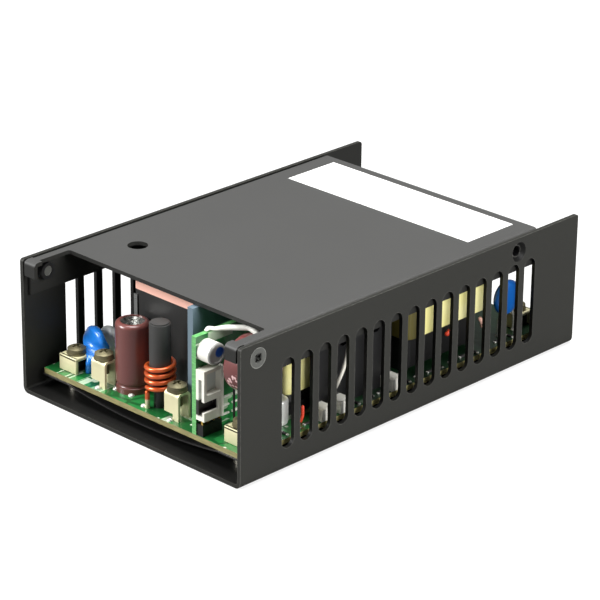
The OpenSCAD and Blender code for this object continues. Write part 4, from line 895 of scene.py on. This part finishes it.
def add_jumper():
    """Insulated jumper wire swept along a smooth curve that bows out beside the side heatsink."""
    x = JUMPER_X
    route = smooth_path([[x + 1.8, 41.2, 0.0], [x + 1.8, 41.3, 2.6], [x + 1.9, 42.0, 5.4],
                         [x + 1.9, 44.2, 8.4],
                         [x + 1.8, 46.6, 12.0], [x + 1.5, 48.4, 16.6], [x + 1.1, 49.0, 21.0], [x + 0.8, 48.5,
                                                                                               24.8],
                         [x + 0.6, 47.2, 27.2]], 8)
    add_piece("bowed_jumper", [swept(at_points(route), JUMPER_RADIUS * MM, (1, 0, 0), 12)], PALE_WIRE,
              ["jumper_wire"], sharp=70)


def add_tapes():
    """Tape round the input choke and standby transformer: two nested rounded blocks each, as stepped turns."""
    z = 10.4
    layers = [block((13.0 + e, 75.0 + e, z), (36.0 - e, 110.4 - e, 26.6 - lift), 2.6, 0.3)
              for e, lift in ((0.0, 0.0), (0.15, -0.3))]
    add_piece("choke_tape_band", [placed(layer) for layer in layers], OLIVE_FRONT_TAPE, ["pfc_choke_tape"])
    band = [block((21.5, 30.9, 6.3), (31.1, 43.4, 23.7), 1.4, 0.3),
            block((21.6, 31.3, 6.0), (31.0, 43.0, 24.0), 1.4, 0.3)]
    add_piece("standby_tape_band", [placed(layer) for layer in band], TAPE, ["standby_transformer_tape"])


def add_small_can():
    """Small bare can: a profile turned about Z, a stepped foot below and a quarter circle at the shoulder."""
    v = np.linspace(0, np.pi / 2, 7)
    foot = [[2.4, 0.0], [3.0, 0.1], [3.0, 0.5], [3.15, 0.7]]
    shoulder = np.stack([SMALL_CAN_RADIUS - ROLL + ROLL * np.cos(v), 6.6 + ROLL * np.sin(v)], axis=1)
    rings = turned(np.concatenate([foot, shoulder, [[1.2, 7.4], [0.3, 7.3]]]), 48)
    add_piece("small_can", [placed(closed_rings(rings), *SMALL_CAN_PLACE)], PALE_CAN, ["silver_capacitor"])


def add_chips():
    """Chips, their soldered ends, resistors and solder domes of both boards.

    Chips, ends and resistors are rounded blocks. A dome is the profile (0.95 cos v to the power 1.4, 0.75
    sin v) turned about Z.
    """
    bodies, ends, domes = [], [], []
    places = [(38.6, 22.5), (39.0, 27.0), (38.4, 31.5), (38.8, 51.0), (38.9, 56.5), (38.7, 61.0),
              (38.8, 72.0),
              (38.6, 76.5), (39.0, 81.5), (38.7, 86.0), (38.8, 91.0), (38.5, 96.0), (38.9, 101.0), (38.8,
                                                                                                    106.0),
              (38.6, 111.5), (38.8, 117.0), (17.5, 11.0)]
    for number, (x, y) in enumerate(places):
        long_y = number % 3 != 0
        a, b = (0.45, 0.9) if long_y else (0.9, 0.45)
        bodies.append(placed(block((-a, -b, 0.05), (a, b, 0.65), 0.12, 0.1), x, y))
        step = (0.0, b + 0.18) if long_y else (a + 0.18, 0.0)
        for side in (-1, 1):
            ends.append(placed(block((-a if long_y else -0.3, -0.3 if long_y else -b, 0.0),
                                     (a if long_y else 0.3, 0.3 if long_y else b, 0.5), 0.12, 0.15),
                               x + side * step[0], y + side * step[1]))
    v = np.linspace(0, np.pi / 2 - 0.1, 6)
    dome = closed_rings(turned(np.stack([0.95 * np.cos(v) ** 1.4, 0.75 * np.sin(v)], axis=1), 20))
    for x, y in ((37.8, 41.2), (-1.6, 7.5), (6.4, 15.6), (-28.7, 12.9), (29.2, 12.4), (29.2, 17.4),
                 (36.0, 115.2),
                 (36.0, 122.0), (38.9, 66.0), (-19.4, 6.4), (10.2, 6.4), (-15.4, 9.6), (-9.0, 9.6)):
        domes.append(placed(dome, x, y))
    pale = [placed(block((0.0, -1.5, -0.26), (0.5, 1.5, 0.26), 0.1, 0.08), 22.0, y, z)
            for y in (15.8, 19.8) for z in (3.0, 5.6, 8.2)]
    add_piece("card_resistors", pale, WHITE)
    add_piece("chip_bodies", bodies, CHIP)
    add_piece("chip_ends", ends, SOLDER)
    add_piece("solder_domes", domes, SOLDER, sharp=60)


def add_sleevings():
    """Short lengths of coloured sleeving beside the transformers, each swept along a smooth curve."""
    shapes = {
        "red_sleeving_front": ([[36.4, 31.0, 0.4], [36.5, 31.6, 2.0], [36.2, 32.0, 4.4]], 0.5, RED),
        "red_sleeving_rear": ([[36.9, 90.8, 8.4], [37.1, 91.6, 9.0], [36.9, 92.6, 8.8]], 0.7, RED),
        "pink_sleeving": ([[36.9, 105.4, 8.6], [37.2, 106.0, 7.4], [37.0, 106.4, 6.2]], 0.7, PINK),
    }
    for name, (points, r, material) in shapes.items():
        add_piece(name, [swept(at_points(smooth_path(points, 6)), r * MM, (1, 0, 0), 14)], material, sharp=70)


add_posts()
add_winding()
add_blue_drop()
add_rear_disc()
add_lying_capacitor()
add_bead()
add_jumper()
add_tapes()
add_small_can()
add_chips()
add_sleevings()

# --- Stage --------------------------------------------------------------------------------------------

AZIMUTH, ELEVATION, ROLL = 43.97, 23.09, 0.66
CAMERA_DISTANCE = 0.8446
CAMERA_TARGET = Vector((-0.00177, 0.0, 0.02067))
FOCAL_LENGTH = 174.15
# The floor's colour for everything but the eye, and the share of plain white in what the eye sees of it
FLOOR_GREY = 0.18
FLOOR_GLOW = 0.72


def add_camera():
    """Long lens at the viewing angle, turned by a slight roll."""
    camera = bpy.data.objects.new("camera", bpy.data.cameras.new("camera"))
    camera.data.lens = FOCAL_LENGTH
    camera.data.sensor_width = 36.0
    az, el, roll = (math.radians(v) for v in (AZIMUTH, ELEVATION, ROLL))
    back = Vector((math.sin(az) * math.cos(el), -math.cos(az) * math.cos(el), math.sin(el)))
    right = Vector((0, 0, 1)).cross(back).normalized()
    up = back.cross(right)
    turned_right = math.cos(roll) * right + math.sin(roll) * up
    turned_up = math.cos(roll) * up - math.sin(roll) * right
    camera.matrix_world = Matrix.Translation(CAMERA_TARGET + back * CAMERA_DISTANCE) @ Matrix(
        (turned_right, turned_up, back)).transposed().to_4x4()
    bpy.context.scene.collection.objects.link(camera)
    bpy.context.scene.camera = camera


def add_floor():
    """Round floor under the part: white to the eye with a faint shadow, and a dimmer grey to everything else."""
    turns = np.linspace(0, 2 * np.pi, 65)[:-1]
    rim = np.stack([1.6 * np.cos(turns), 1.6 * np.sin(turns), np.full(64, LOW[2])], axis=1)
    mesh = bpy.data.meshes.new("floor")
    mesh.from_pydata([tuple(p) for p in rim], [], [tuple(range(64))])
    floor = bpy.data.objects.new("floor", mesh)
    bpy.context.scene.collection.objects.link(floor)
    material = bpy.data.materials.new("floor_white")
    material.use_nodes = True
    tree = material.node_tree
    shader = tree.nodes["Principled BSDF"]
    shader.inputs["Roughness"].default_value = 0.8
    path = put(tree, "ShaderNodeLightPath")
    seen = maths(tree, "MAXIMUM", path.outputs["Is Camera Ray"], path.outputs["Is Transmission Ray"])
    tree.links.new(blend(tree, seen, (*[FLOOR_GREY] * 3, 1), (0.9, 0.9, 0.9, 1)), shader.inputs["Base Color"])
    glow = put(tree, "ShaderNodeEmission", {"Color": (1, 1, 1, 1), "Strength": 1.0})
    mixed = put(tree, "ShaderNodeMixShader", {0: maths(tree, "MULTIPLY", seen, FLOOR_GLOW),
                                              1: shader.outputs[0], 2: glow.outputs[0]})
    tree.links.new(mixed.outputs[0], tree.nodes["Material Output"].inputs["Surface"])
    mesh.materials.append(material)


def add_lamp(name, place, size, power, target=(0, 0, 0.02)):
    """A square softbox at place, turned to target."""
    lamp = bpy.data.lights.new(name, "AREA")
    lamp.energy = power
    lamp.size = size
    holder = bpy.data.objects.new(name, lamp)
    holder.location = place
    holder.rotation_euler = (Vector(place) - Vector(target)).to_track_quat("Z", "Y").to_euler()
    bpy.context.scene.collection.objects.link(holder)


def light_world(diffuse, glossy):
    """Even surroundings: white to the eye, dimmer in reflections and dimmest as light."""
    world = bpy.data.worlds.new("studio")
    bpy.context.scene.world = world
    world.use_nodes = True
    tree = world.node_tree
    background = tree.nodes["Background"]
    background.inputs["Color"].default_value = (1, 1, 1, 1)
    path = tree.nodes.new("ShaderNodeLightPath")
    seen = maths(tree, "MAXIMUM", path.outputs["Is Camera Ray"], path.outputs["Is Transmission Ray"])
    dim = remap(tree, path.outputs["Is Glossy Ray"], 0.0, 1.0, diffuse, glossy)
    strength = maths(tree, "ADD", maths(tree, "MULTIPLY", seen, 1.0), maths(
        tree, "MULTIPLY", maths(tree, "SUBTRACT", 1.0, seen), dim))
    tree.links.new(strength, background.inputs["Strength"])


add_camera()
add_floor()
light_world(0.06, 0.18)
add_lamp("key", (-0.85, -1.30, 0.85), 0.7, 40.0)
add_lamp("top", (0.0, 0.0, 1.5), 1.0, 38.0)
add_lamp("side", (1.5, 0.1, 0.65), 0.8, 34.0)
bpy.context.scene.view_settings.view_transform = "Standard"
